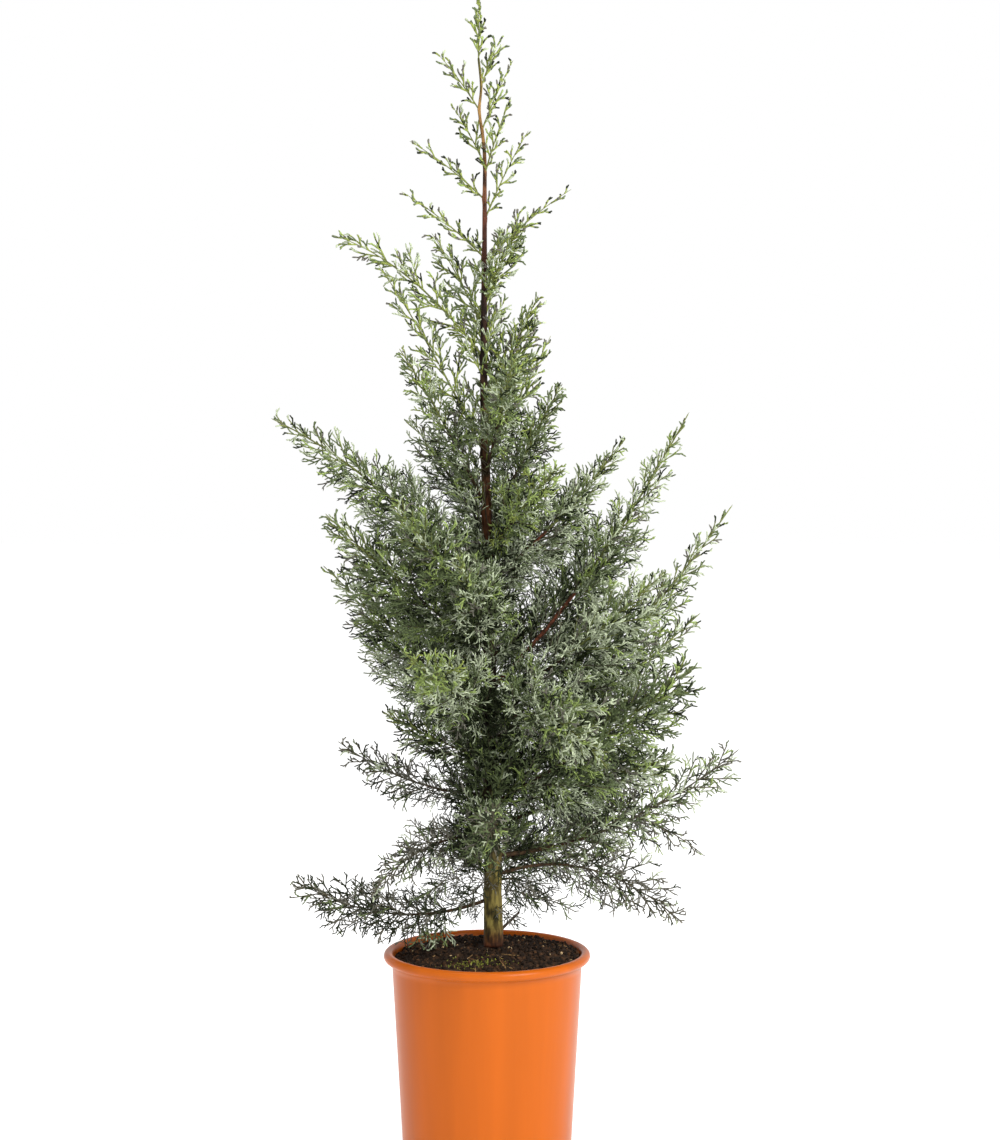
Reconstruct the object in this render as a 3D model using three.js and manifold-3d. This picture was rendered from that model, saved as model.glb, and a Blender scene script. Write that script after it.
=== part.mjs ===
// A young Arizona cypress in a round orange plastic pot: the pot, its soil, the trunk, the main boughs and
// the masses of foliage. Millimetres, +Z up. The origin is the middle of the pot's flat underside, and the
// side of the plant that is seen first faces -Y.

import * as THREE from 'three';
import { mergeVertices } from 'three/addons/utils/BufferGeometryUtils.js';
import Module from 'manifold-3d';

const wasm = await Module();
wasm.setup();

// Driving dimensions of the pot and its soil
const POT_HEIGHT = 200;
const POT_BASE_RADIUS = 76.8;
const POT_BODY_RADIUS = 87.5; // outside, just under the rolled lip
const POT_WALL = 2.2;
const POT_FLOOR = 3;
const POT_FOOT_BEVEL = 2;
const POT_SIDES = 32;
const LIP_RADIUS = 95; // outside, the widest part of the pot
const LIP_ROUND = 4.5; // radius of the rolled lip's section
const LIP_FROM = -80; // degrees from level, where the lip's round leaves the wall
const LIP_TO = 145;
const LIP_STEPS = 5;
const DRAIN_HOLES = 6;
const DRAIN_RADIUS = 5;
const DRAIN_RING = 52;
const DRAIN_SIDES = 10;
const SOIL_EDGE_DEPTH = 5; // below the rim, where the soil meets the wall
const SOIL_MOUND = 4; // above the rim, at the trunk's foot
const SOIL_SEAT_RADIUS = 20; // flat ground under the trunk
const SOIL_STEPS = 3; // rings of the mound between the wall and the trunk's seat
const SOIL_UNEVEN = 1.6; // height of the low waves in the soil
const SOIL_TILT = 0.03; // the soil rises by this share of the way to the right
const SOIL_WAVE_X = 17;
const SOIL_WAVE_Y = 13;

// Driving dimensions of the trunk
const TRUNK_RADIUS = 8.5;
const TRUNK_TIP_RADIUS = 1;
const TRUNK_TAPER = 1.12; // above 1, the lower trunk thins faster than the upper
const ROOT_FLARE = 0.8;
const FLARE_HEIGHT = 30;
const TRUNK_SIDES = 8;
const TRUNK_STEPS = 26;
const STUB_RADIUS = 1.3; // a short dead twig at the trunk's foot
const STUB_RISE = 8;
const STUB_TIP = new THREE.Vector3(30, 12, 233);

// Driving dimensions of the boughs and the foliage
const GAP = 0.3; // clearance between a limb and what carries it
const BOUGH_RADIUS_BASE = 0.8; // a bough's radius at the trunk is this and a share of its length
const BOUGH_RADIUS_SHARE = 0.0058;
const TWIG_TIP_RADIUS = 1.4;
const BARE_SHARE = 0.3; // of a main bough, from the trunk to where its foliage begins
const BOUGH_SIDES = 6;
const BOUGH_STEPS = 5;
const STEM_SIDES = 4;
const STEM_STEPS = 4;
const STEM_END = 0.85; // a stem's last stretch, with a spray of its own, begins here
const CORE = { top: 0, leader: 0, upper: 5, middle: 8, lower: 5, back: 8 }; // radius where leaves crowd
const CORE_SIDES = 5;
const CORE_STEPS = 5;
const CORE_SKEW = 0.7; // below 1, a core is stoutest nearer to its foot
const BRANCH_SAMPLES = 24; // points of a branch's line that distances are measured to
// How far a branch's middle hangs below a straight line, as a share of its length.
const HANG = { top: 0, leader: -0.04, upper: -0.04, middle: 0.03, lower: 0.09, back: 0.04 };
const FALLING_HANG = -0.16; // for a branch whose tip is lower than its foot
const OWN_HANG = {
  upper_2: -0.1, middle_1: -0.07, middle_4: 0.065, middle_5: 0.05, middle_6: 0.085, lower_2: 0.125,
};
const SPREAD = { top: 12, leader: 15, upper: 32, middle: 54, lower: 37, back: 52 }; // round a branch
const WIDEST_SHARE = 0.27; // the most that a short branch's spread may be of its length
// How quickly the spread narrows to the tip: below 1 the foliage has a blunt end.
const NARROWING = { top: 0.9, leader: 0.9, upper: 0.9, middle: 0.95, lower: 0.8, back: 0.9 };
const OWN_NARROWING = {
  middle_1: 1.3, middle_3: 1.1, middle_5: 1.3, middle_12: 0.65, middle_15: 0.65,
  lower_2: 0.5, lower_4: 0.5, lower_6: 0.6,
};
const FULL_SPREAD_AT = 0.25; // along a stem, from its foot
const FOOT_SPREAD = 0.35;
const TIP_SPREAD = 0.1;
const SHOOT_SPACING_BASE = 7; // shoots stand this and a share of the branch's length apart
const SHOOT_SPACING_SHARE = 0.06;
const SHOOTS_OVER = [0.04, 0.96]; // the stretch of a stem that has shoots
const SHOOT_VARIES = [0.8, 1.2]; // a shoot's length, as shares of the usual
const SHOOT_RADIUS = 1.5;
const SHOOT_TIP_RADIUS = 1.2;
const TWIG_SIDES = 3;
const TWIG_STEPS = 2;
const TWIG_SAMPLES = 6; // points of a twig that are tested for room
const SHOOT_BEND_AT = 0.55; // where along a shoot it turns toward its stem's direction
const SHOOT_BEND = 0.1;
const SHOOT_LIFT = { top: 0.1, leader: 0.1, upper: 0.1, middle: 0.14, lower: -0.04, back: 0.14 };
const TWIG_LENGTH = 60; // a longer shoot is a twig with sprays, a shorter one is a single spray
const LEAST_SPRAY_SHARE = 0.085; // of the branch's length: shorter sprays are left out
const OPEN_AT_FOOT = 58; // degrees between a stem and a shoot, at the stem's foot and at its tip
const OPEN_AT_TIP = 32;
const GOLDEN_ANGLE = 137.5;
const SPRAY_LENGTH = 46;
const SPRAY_VARIES = [0.8, 1.1]; // a spray's length, as shares of the usual
const SPRAY_THICKNESS = 2;
const SPRAY_THICKNESS_SHARE = 0.05; // of its length
const SPRAY_SPACING = 30;
const SPRAY_OPEN = 38;
const SPRAY_TURN = 6; // radians that a spray may stand round its twig, nearly a whole turn
const SPRAY_ROLL = 3; // radians that its blade may roll, nearly half a turn
const SPRAY_ROOT = 0.25; // of a spray's length, sunk among the leaves of its stem
const END_SPRAY_OPEN = 0.05; // radians, of the spray that ends a twig
const END_SPRAY_BACK = 0.85; // of its length, how far before the twig's tip it begins
const EARLIEST_SPRAY = 0.1; // along its twig
const SPRAY_RIDGE = 0.34; // where along it a spray is thickest
// A spray's outline from its end to its root: the turn from straight on and the share of its length, both
// seen from the thickest place. It has a finger at the end and others at each side, with notches between.
const SPRAY_OUTLINE = [[0, 0.66], [16, 0.28], [33, 0.5], [180, 0.34]];
const SPRAY_SINK = 1; // how far a spray's root passes the middle of its twig
const SHORTER = [1, 0.8, 0.62, 0.48]; // a shoot that would leave its space is tried again at these shares
const SPACE_MARGIN = 3.6; // how much nearer to its own branch than to any other a piece of foliage stays
const LIMB_MARGIN = 1.2;
const POT_MARGIN = 12; // foliage keeps this far above the rim, over the pot

const UP = new THREE.Vector3(0, 0, 1);
const GROUND = POT_HEIGHT + SOIL_MOUND;
const TOP = 1070; // the topmost tip

// The trunk's middle line, a slight lean to the left with a crooked leader.
const trunkLine = new THREE.CatmullRomCurve3([
  new THREE.Vector3(6, 0, GROUND + GAP),
  new THREE.Vector3(5, 1, 275),
  new THREE.Vector3(0.5, 2, 573),
  new THREE.Vector3(-2.5, 1, 705),
  new THREE.Vector3(-1.8, -1, 885),
  new THREE.Vector3(-2.2, 0, 930),
  new THREE.Vector3(-6.5, 1, 965),
  new THREE.Vector3(-5, -1, 985),
  new THREE.Vector3(-7.2, 0, 1011),
]);
const TRUNK_TIP = trunkLine.getPoint(1);

// The branches that show in outline or toward the front: a name, the height where each leaves the trunk,
// where its tip lies, and whether bare wood shows at its foot.
const SHOWN_BRANCHES = [
  ['leader_1', 986, [14, 14, 1033]],
  ['leader_2', 965, [-45, -14, 1015]],
  ['leader_3', 947, [24, 22, 1012]],
  ['leader_4', 916, [-32, 24, 972]],
  ['leader_5', 908, [22, -32, 974]],
  ['leader_6', 885, [-70, 16, 939]],
  ['leader_7', 867, [38, 34, 950]],
  ['leader_8', 833, [-76, -22, 891]],
  ['leader_9', 829, [77, 20, 896]],
  ['upper_1', 768, [-51, 46, 858]],
  ['upper_2', 743, [-139, -14, 853]],
  ['upper_3', 655, [-98, -22, 828]],
  ['upper_4', 605, [-77, -62, 751]],
  ['upper_5', 678, [47, 20, 800]],
  ['upper_6', 578, [68, -28, 720]],
  ['upper_7', 632, [25, -108, 742]],
  ['upper_8', 795, [32, -54, 862]],
  ['upper_9', 562, [66, -110, 650]],
  ['middle_1', 523, [-193, -30, 689], 'bare'],
  ['middle_2', 477, [-142, -75, 606]],
  ['middle_3', 431, [-152, 40, 552]],
  ['middle_4', 441, [185, 20, 694], 'bare'],
  ['middle_5', 540, [124, -50, 672], 'bare'],
  ['middle_6', 395, [221, -30, 612], 'bare'],
  ['middle_7', 364, [198, 40, 508]],
  ['middle_8', 420, [-68, -150, 489]],
  ['middle_9', 490, [-25, -125, 574]],
  ['middle_10', 405, [105, -140, 388]],
  ['middle_11', 376, [-93, -46, 427]],
  ['middle_12', 335, [185, -62, 470]],
  ['middle_13', 512, [-82, -116, 622]],
  ['middle_14', 424, [158, -80, 556]],
  ['middle_15', 347, [165, -20, 380]],
  ['lower_1', 345, [-138, 20, 391]],
  ['lower_2', 249, [-174, -20, 268], 'bare'],
  ['lower_3', 300, [-107, -72, 262]],
  ['lower_4', 288, [232, 10, 385], 'bare'],
  ['lower_5', 312, [206, 62, 275]],
  ['lower_6', 268, [178, -40, 233], 'bare'],
  ['lower_7', 322, [6, -160, 362]],
  ['lower_8', 262, [62, 52, 230]],
];

// The branches round the back, where the crown is finished like the side that shows.
const BACK_COUNT = 8;
const BACK_LOWEST = 282;
const BACK_STEP = 63;
const BACK_TURN = 50; // degrees to either side of straight back
const BACK_REACH = 185; // of the lowest one
const BACK_NARROWING = 18; // each one up reaches this much less
const BACK_RISE = 38; // of the lowest one
const BACK_STEEPENING = 11; // each one up rises this much more

// Numbers between 0 and 1, the same for the same seed.
function seeded(seed) {
  let state = seed >>> 0;
  return () => {
    state = (state + 0x6d2b79f5) >>> 0;
    let mixed = Math.imul(state ^ (state >>> 15), state | 1);
    mixed ^= mixed + Math.imul(mixed ^ (mixed >>> 7), mixed | 61);
    return ((mixed ^ (mixed >>> 14)) >>> 0) / 4294967296;
  };
}

const mix = THREE.MathUtils.lerp;
const radians = THREE.MathUtils.degToRad;

// A closed geometry as a solid that can be joined and cut.
function solidOf(geometry) {
  const bare = new THREE.BufferGeometry().setAttribute('position', geometry.getAttribute('position'));
  bare.setIndex(geometry.index);
  const merged = mergeVertices(bare, 1e-4);
  const vertProperties = new Float32Array(merged.getAttribute('position').array);
  const triVerts = new Uint32Array(merged.index.array);
  return new wasm.Manifold(new wasm.Mesh({ numProp: 3, vertProperties, triVerts }));
}

// A solid's faces as a geometry, without loose scraps or sealed hollows.
function geometryOf(solid) {
  const largest = solid.decompose().reduce((a, b) => (b.volume() > a.volume() ? b : a));
  const mesh = largest.getMesh();
  const geometry = new THREE.BufferGeometry();
  geometry.setAttribute('position', new THREE.BufferAttribute(new Float32Array(mesh.vertProperties), 3));
  geometry.setIndex(new THREE.BufferAttribute(new Uint32Array(mesh.triVerts), 1));
  geometry.computeVertexNormals();
  return geometry;
}

// A limb: the rings of a unit cylinder, or of a cone when it is pointed, set along a line.
function limb(line, radiusAt, sides, steps, pointed = false) {
  const shape = pointed
    ? new THREE.ConeGeometry(1, 1, sides, steps)
    : new THREE.CylinderGeometry(1, 1, 1, sides, steps);
  const frames = line.computeFrenetFrames(steps, false);
  const position = shape.getAttribute('position');
  for (let i = 0; i < position.count; i++) {
    const ring = Math.round((position.getY(i) + 0.5) * steps);
    const along = ring / steps;
    const point = line.getPointAt(along);
    const outward = new THREE.Vector2(position.getX(i), position.getZ(i));
    if (outward.length() > 1e-6) {
      outward.setLength(radiusAt(along));
      point.addScaledVector(frames.binormals[ring], outward.x);
      point.addScaledVector(frames.normals[ring], outward.y);
    }
    position.setXYZ(i, point.x, point.y, point.z);
  }
  return shape;
}

// A stretch of another line.
class Stretch extends THREE.Curve {
  constructor(whole, from, to) {
    super();
    Object.assign(this, { whole, from, to });
  }

  getPoint(t, target = new THREE.Vector3()) {
    return target.copy(this.whole.getPointAt(mix(this.from, this.to, t)));
  }
}

// Pot

function innerWallRadius(height) {
  return mix(POT_BASE_RADIUS, POT_BODY_RADIUS, height / (POT_HEIGHT - 2 * LIP_ROUND)) - POT_WALL;
}

function potGeometry() {
  const lipMiddle = new THREE.Vector2(LIP_RADIUS - LIP_ROUND, POT_HEIGHT - LIP_ROUND);
  const lipFoot = POT_HEIGHT - 2 * LIP_ROUND;
  const profile = [
    new THREE.Vector2(0, 0),
    new THREE.Vector2(POT_BASE_RADIUS - POT_FOOT_BEVEL, 0),
    new THREE.Vector2(POT_BASE_RADIUS, POT_FOOT_BEVEL),
    new THREE.Vector2(POT_BODY_RADIUS, lipFoot),
  ];
  for (let i = 0; i <= LIP_STEPS; i++) {
    const turn = mix(LIP_FROM, LIP_TO, i / LIP_STEPS);
    const out = new THREE.Vector2(LIP_ROUND, 0).rotateAround(new THREE.Vector2(), radians(turn));
    profile.push(out.add(lipMiddle));
  }
  profile.push(new THREE.Vector2(innerWallRadius(lipFoot), lipFoot));
  profile.push(new THREE.Vector2(innerWallRadius(POT_FLOOR), POT_FLOOR));
  profile.push(new THREE.Vector2(0, POT_FLOOR));
  const shell = new THREE.LatheGeometry(profile, POT_SIDES).rotateX(Math.PI / 2);

  let pot = solidOf(shell);
  for (let i = 0; i < DRAIN_HOLES; i++) {
    const turn = (i / DRAIN_HOLES) * 2 * Math.PI;
    const hole = new THREE.CylinderGeometry(DRAIN_RADIUS, DRAIN_RADIUS, 4 * POT_FLOOR, DRAIN_SIDES);
    hole.rotateX(Math.PI / 2).translate(DRAIN_RING * Math.cos(turn), DRAIN_RING * Math.sin(turn), 0);
    pot = pot.subtract(solidOf(hole));
  }
  return geometryOf(pot);
}

// Soil: it fills the pot, lies lowest at the wall and is mounded up to a flat place at the trunk.
function soilGeometry() {
  const foot = POT_FLOOR + GAP;
  const edge = POT_HEIGHT - SOIL_EDGE_DEPTH;
  const lipFoot = POT_HEIGHT - 2 * LIP_ROUND;
  const edgeRadius = innerWallRadius(Math.min(edge, lipFoot)) - GAP;
  const profile = [
    new THREE.Vector2(0, foot),
    new THREE.Vector2(innerWallRadius(foot) - GAP, foot),
    new THREE.Vector2(edgeRadius, lipFoot),
    new THREE.Vector2(edgeRadius, edge),
  ];
  for (let i = 1; i <= SOIL_STEPS; i++) {
    const inward = i / SOIL_STEPS;
    const rise = Math.sin((inward * Math.PI) / 2);
    profile.push(new THREE.Vector2(mix(edgeRadius, SOIL_SEAT_RADIUS, inward), mix(edge, GROUND, rise)));
  }
  profile.push(new THREE.Vector2(0, GROUND));
  const soil = new THREE.LatheGeometry(profile, POT_SIDES).rotateX(Math.PI / 2);

  const position = soil.getAttribute('position');
  for (let i = 0; i < position.count; i++) {
    const [x, y, z] = [position.getX(i), position.getY(i), position.getZ(i)];
    const radius = Math.hypot(x, y);
    if (z > edge - GAP && radius > SOIL_SEAT_RADIUS + 1) {
      const wave = SOIL_UNEVEN * Math.sin(x / SOIL_WAVE_X + 1) * Math.cos(y / SOIL_WAVE_Y);
      position.setZ(i, z + wave + SOIL_TILT * x);
    }
  }
  return geometryOf(solidOf(soil));
}

// Trunk

function trunkRadius(height) {
  const along = THREE.MathUtils.clamp((height - GROUND) / (TRUNK_TIP.z - GROUND), 0, 1);
  const taper = TRUNK_TIP_RADIUS + (TRUNK_RADIUS - TRUNK_TIP_RADIUS) * (1 - along) ** TRUNK_TAPER;
  return taper + ROOT_FLARE * Math.exp(-(height - GROUND) / FLARE_HEIGHT);
}

// The trunk's middle at a height.
function trunkAt(height) {
  let low = 0;
  let high = 1;
  for (let i = 0; i < 30; i++) {
    const middle = (low + high) / 2;
    if (trunkLine.getPointAt(middle).z < height) low = middle;
    else high = middle;
  }
  return trunkLine.getPointAt(low);
}

// The trunk with its foot cut level, made stouter by extra.
function trunkSolid(extra = 0) {
  const radiusAt = (along) => trunkRadius(trunkLine.getPointAt(along).z) + extra;
  const shape = limb(trunkLine, radiusAt, TRUNK_SIDES, TRUNK_STEPS);
  const position = shape.getAttribute('position');
  const footHeight = GROUND + GAP;
  for (let i = 0; i < position.count; i++) {
    if (position.getZ(i) < footHeight + ROOT_FLARE) position.setZ(i, footHeight);
  }
  return solidOf(shape);
}

function deadStubSolid() {
  const line = new THREE.LineCurve3(trunkAt(GROUND + STUB_RISE), STUB_TIP);
  return solidOf(limb(line, () => STUB_RADIUS, BOUGH_SIDES, 2));
}

// Branches

// A branch's middle line leaves the trunk and bends once on its way to the tip.
function makeBranch([name, footHeight, tipPlace, bare], index) {
  const foot = name === 'top' ? TRUNK_TIP.clone() : trunkAt(footHeight);
  const tip = new THREE.Vector3(...tipPlace);
  const length = foot.distanceTo(tip);
  const tier = name.split('_')[0];
  const hang = OWN_HANG[name] ?? (tip.z > foot.z ? HANG[tier] : FALLING_HANG);
  const middle = foot.clone().lerp(tip, 0.5).addScaledVector(UP, -2 * hang * length);
  const line = new THREE.QuadraticBezierCurve3(foot, middle, tip);
  const radiusAt = (along) => mix(BOUGH_RADIUS_BASE + BOUGH_RADIUS_SHARE * length, TWIG_TIP_RADIUS, along);
  const samples = line.getSpacedPoints(BRANCH_SAMPLES);
  const box = new THREE.Box3().setFromPoints(samples);
  const shape = {
    spread: Math.min(SPREAD[tier], WIDEST_SHARE * length),
    narrowing: OWN_NARROWING[name] ?? NARROWING[tier],
    lift: SHOOT_LIFT[tier],
    core: CORE[tier],
    bare: bare ? BARE_SHARE : 0,
  };
  return { name, index, line, length, radiusAt, samples, box, ...shape };
}

function backBranch(_, k) {
  const turn = radians(90 + ((k % 3) - 1) * BACK_TURN);
  const reach = BACK_REACH - BACK_NARROWING * k;
  const foot = BACK_LOWEST + BACK_STEP * k;
  const tip = [reach * Math.cos(turn), reach * Math.sin(turn), foot + BACK_RISE + BACK_STEEPENING * k];
  return ['back_' + (k + 1), foot, tip];
}

const branches = [
  ['top', TRUNK_TIP.z, [-7, 0, TOP]],
  ...SHOWN_BRANCHES,
  ...Array.from({ length: BACK_COUNT }, backBranch),
].map(makeBranch);

// Distance from a point to a branch's middle line, and how far along it that is.
const nearestPoint = new THREE.Vector3();
const segment = new THREE.Line3();
function toBranch(point, branch) {
  let distance = Infinity;
  let along = 0;
  for (let i = 1; i < branch.samples.length; i++) {
    segment.set(branch.samples[i - 1], branch.samples[i]);
    const share = segment.closestPointToPointParameter(point, true);
    segment.at(share, nearestPoint);
    const gap = nearestPoint.distanceTo(point);
    if (gap < distance) {
      distance = gap;
      along = (i - 1 + share) / (branch.samples.length - 1);
    }
  }
  return { distance, along };
}

// Whether a point lies in a branch's own space: nearer to it than to the others, and clear of every limb,
// of the trunk and of the pot.
function inOwnSpace(point, branch) {
  const trunk = trunkAt(point.z);
  if (point.z < TRUNK_TIP.z && point.distanceTo(trunk) < trunkRadius(point.z) + LIMB_MARGIN) return false;
  const overPot = Math.hypot(point.x, point.y) < LIP_RADIUS + POT_MARGIN;
  if (overPot && point.z < POT_HEIGHT + POT_MARGIN) return false;
  const own = toBranch(point, branch).distance;
  return branches.every((other) => {
    const far = other.box.distanceToPoint(point) > own + SPACE_MARGIN + LIMB_MARGIN;
    if (other === branch || far) return true;
    const { distance, along } = toBranch(point, other);
    return distance > own + SPACE_MARGIN && distance > other.radiusAt(along) + LIMB_MARGIN;
  });
}

// Foliage

// How far the foliage stands out along a stem: quickly wider from its foot, then narrowing to its tip.
function plume(along, narrowing) {
  const opening = mix(FOOT_SPREAD, 1, Math.min(1, along / FULL_SPREAD_AT));
  return opening * (1 - along) ** narrowing + TIP_SPREAD;
}

// A direction turned away from a line by an angle, at a roll round it.
function turnedAway(tangent, angle, roll) {
  const across = Math.abs(tangent.z) > 0.9 ? new THREE.Vector3(1, 0, 0) : UP;
  const side = new THREE.Vector3().crossVectors(tangent, across).normalize();
  side.applyAxisAngle(tangent, roll);
  return tangent.clone().multiplyScalar(Math.cos(angle)).addScaledVector(side, Math.sin(angle));
}

// The shoots of a branch's growth rule: they stand round the stem by the golden angle.
function shootsOf(branch, stem) {
  const random = seeded(branch.index + 1);
  const spacing = SHOOT_SPACING_BASE + SHOOT_SPACING_SHARE * branch.length;
  const count = Math.round((branch.length * (1 - branch.bare)) / spacing);
  const firstRoll = random() * 2 * Math.PI;
  const shoots = [];
  for (let i = 0; i < count; i++) {
    const along = mix(...SHOOTS_OVER, (i + 0.5) / count);
    const open = radians(mix(OPEN_AT_FOOT, OPEN_AT_TIP, along));
    const tangent = stem.getTangentAt(along);
    const direction = turnedAway(tangent, open, firstRoll + i * radians(GOLDEN_ANGLE));
    const reach = branch.spread * plume(along, branch.narrowing);
    const length = (reach / Math.sin(open)) * mix(...SHOOT_VARIES, random());
    shoots.push({ start: stem.getPointAt(along), tangent, direction, length, lift: branch.lift });
  }
  return shoots;
}

// A shoot's line turns a little toward its stem's own direction and up.
function shootLine({ start, tangent, direction, length, lift }, share) {
  const middle = start.clone().addScaledVector(direction, SHOOT_BEND_AT * share * length);
  const later = direction.clone().lerp(tangent, SHOOT_BEND).addScaledVector(UP, lift).normalize();
  const end = middle.clone().addScaledVector(later, (1 - SHOOT_BEND_AT) * share * length);
  return new THREE.QuadraticBezierCurve3(start, middle, end);
}

// A spray of scale leaves: a flat toothed blade, thickest along its middle, with its root sunk in its twig.
function sprayGeometry(root, direction, length, roll) {
  const half = SPRAY_OUTLINE.length - 1;
  const blade = new THREE.SphereGeometry(0.5, 2 * half, 2, Math.PI / 2);
  const position = blade.getAttribute('position');
  const ridge = SPRAY_RIDGE * length - SPRAY_SINK;
  const thickness = SPRAY_THICKNESS + SPRAY_THICKNESS_SHARE * length;
  for (let i = 0; i < position.count; i++) {
    const rim = Math.abs(position.getY(i)) < 0.1;
    const turn = Math.atan2(position.getX(i), position.getZ(i));
    const [outlineTurn, share] = SPRAY_OUTLINE[Math.round((Math.abs(turn) / Math.PI) * half)];
    const out = rim ? share * length : 0;
    const angle = Math.sign(turn) * radians(outlineTurn);
    position.setXYZ(i, out * Math.sin(angle), ridge + out * Math.cos(angle), -position.getY(i) * thickness);
  }
  const toward = new THREE.Quaternion().setFromUnitVectors(new THREE.Vector3(0, 1, 0), direction);
  return blade.rotateY(roll).applyQuaternion(toward).translate(root.x, root.y, root.z);
}

function allInOwnSpace(geometry, branch) {
  const position = geometry.getAttribute('position');
  const point = new THREE.Vector3();
  for (let i = 0; i < position.count; i++) {
    if (!inOwnSpace(point.fromBufferAttribute(position, i), branch)) return false;
  }
  return true;
}

// The sprays along a twig and at its tip, each left out where it would leave the space.
function spraysOn(line, branch, random) {
  const length = line.getLength();
  const count = Math.max(1, Math.round(length / SPRAY_SPACING));
  const sprays = [];
  for (let i = 1; i <= count; i++) {
    const sprayLength = Math.min(SPRAY_LENGTH, length) * mix(...SPRAY_VARIES, random());
    const last = i === count;
    const endAt = Math.max(EARLIEST_SPRAY, 1 - (END_SPRAY_BACK * sprayLength) / length);
    const at = last ? endAt : (i - 0.5) / count;
    const open = last ? END_SPRAY_OPEN : radians(SPRAY_OPEN);
    const turn = i * radians(GOLDEN_ANGLE) + random() * SPRAY_TURN;
    const direction = turnedAway(line.getTangentAt(at), open, turn);
    const spray = sprayGeometry(line.getPointAt(at), direction, sprayLength, random() * SPRAY_ROLL);
    if (allInOwnSpace(spray, branch)) sprays.push(spray);
  }
  return sprays;
}

// A shoot at a share of its length: a single spray if it is short, or a twig with its sprays.
function shootPieces(shoot, share, branch, random) {
  const length = shoot.length * share;
  if (length < LEAST_SPRAY_SHARE * branch.length) return [];
  if (length < TWIG_LENGTH) {
    const spray = sprayGeometry(shoot.start, shoot.direction, length, random() * SPRAY_ROLL);
    const position = spray.getAttribute('position');
    const tip = new THREE.Vector3();
    for (let i = 0; i < position.count; i++) {
      tip.fromBufferAttribute(position, i);
      const sunk = tip.distanceTo(shoot.start) <= SPRAY_ROOT * length;
      if (!sunk && !inOwnSpace(tip, branch)) return [];
    }
    return [spray];
  }
  const line = shootLine(shoot, share);
  const outer = line.getSpacedPoints(TWIG_SAMPLES).slice(1);
  if (!outer.every((point) => inOwnSpace(point, branch))) return [];
  const twigRadius = (along) => mix(SHOOT_RADIUS, SHOOT_TIP_RADIUS, along);
  const twig = limb(line, twigRadius, TWIG_SIDES, TWIG_STEPS, true);
  return [twig, ...spraysOn(line, branch, random)];
}

// The core of crowded leaves round a stem, kept to the branch's own space.
function coreRadius(branch, stem, along) {
  const point = stem.getPointAt(along);
  const others = branches.filter((other) => other !== branch).map((other) => toBranch(point, other).distance);
  const toTrunk = point.distanceTo(trunkAt(point.z)) - trunkRadius(point.z);
  const room = Math.min(Math.min(...others) / 2, toTrunk) - SPACE_MARGIN;
  return Math.min(branch.core * Math.sin(Math.PI * along ** CORE_SKEW), room);
}

// One mass of foliage: a stem with shoots round it, and sprays fused along the shoots and the stem.
function foliageSolid(branch, stoutTrunk) {
  const onTrunk = !branch.bare && branch.name !== 'top';
  const from = onTrunk ? 0 : branch.bare + GAP / branch.length;
  const stem = new Stretch(branch.line, from, 1);
  const random = seeded(1000 + branch.index);
  const woodRadius = (along) => branch.radiusAt(mix(from, 1, along));
  const stemRadius = (along) => Math.max(woodRadius(along), coreRadius(branch, stem, along));
  const [sides, steps] = branch.core ? [CORE_SIDES, CORE_STEPS] : [STEM_SIDES, STEM_STEPS];
  const stemSolid = solidOf(limb(stem, stemRadius, sides, steps, true));
  const stemEnd = new Stretch(branch.line, mix(from, 1, STEM_END), 1);
  const grown = spraysOn(stemEnd, branch, random).map(solidOf);
  for (const shoot of shootsOf(branch, stem)) {
    for (const share of SHORTER) {
      const pieces = shootPieces(shoot, share, branch, random);
      if (!pieces.length) continue;
      const candidate = wasm.Manifold.union(pieces.map(solidOf));
      if (grown.some((other) => !candidate.intersect(other).isEmpty())) continue;
      grown.push(candidate);
      break;
    }
  }
  const solid = wasm.Manifold.union([stemSolid, ...grown]);
  return onTrunk ? solid.subtract(stoutTrunk) : solid;
}

// A main bough's bare wood, from the trunk to where its foliage begins.
function boughSolid(branch, stoutTrunk) {
  const wood = new Stretch(branch.line, 0, branch.bare);
  const radiusAt = (along) => branch.radiusAt(along * branch.bare);
  return solidOf(limb(wood, radiusAt, BOUGH_SIDES, BOUGH_STEPS)).subtract(stoutTrunk);
}

// Assembly

const plastic = new THREE.MeshStandardMaterial({ color: 0xe9732e, roughness: 0.35, metalness: 0 });
const earth = new THREE.MeshStandardMaterial({ color: 0x36281a, roughness: 0.95, metalness: 0 });
const bark = new THREE.MeshStandardMaterial({ color: 0x5c4a2c, roughness: 0.85, metalness: 0 });
const youngBark = new THREE.MeshStandardMaterial({ color: 0x7a3a22, roughness: 0.7, metalness: 0 });
const leaves = new THREE.MeshStandardMaterial({ color: 0x6d775c, roughness: 0.65, metalness: 0 });

const cypress = new THREE.Group();

function addPart(name, geometry, material) {
  const mesh = new THREE.Mesh(geometry, material.clone());
  mesh.name = name;
  cypress.add(mesh);
}

addPart('pot', potGeometry(), plastic);
addPart('soil', soilGeometry(), earth);
addPart('trunk', geometryOf(trunkSolid().add(deadStubSolid())), bark);

const stoutTrunk = trunkSolid(GAP);
for (const branch of branches) {
  if (branch.bare) addPart('bough_' + branch.name, geometryOf(boughSolid(branch, stoutTrunk)), youngBark);
  addPart('foliage_' + branch.name, geometryOf(foliageSolid(branch, stoutTrunk)), leaves);
}

export default cypress;
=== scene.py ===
"""The looks of a young Arizona cypress in a round orange plastic pot.

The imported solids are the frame. The trunk and boughs get bark with relief, and each mass of foliage grows
again from its branch line by the rule of the part's source, carried on to fine cords of scale leaves.
Lengths are millimetres until a mesh is made: MM takes them to the frame's metres.
"""

import math

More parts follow.
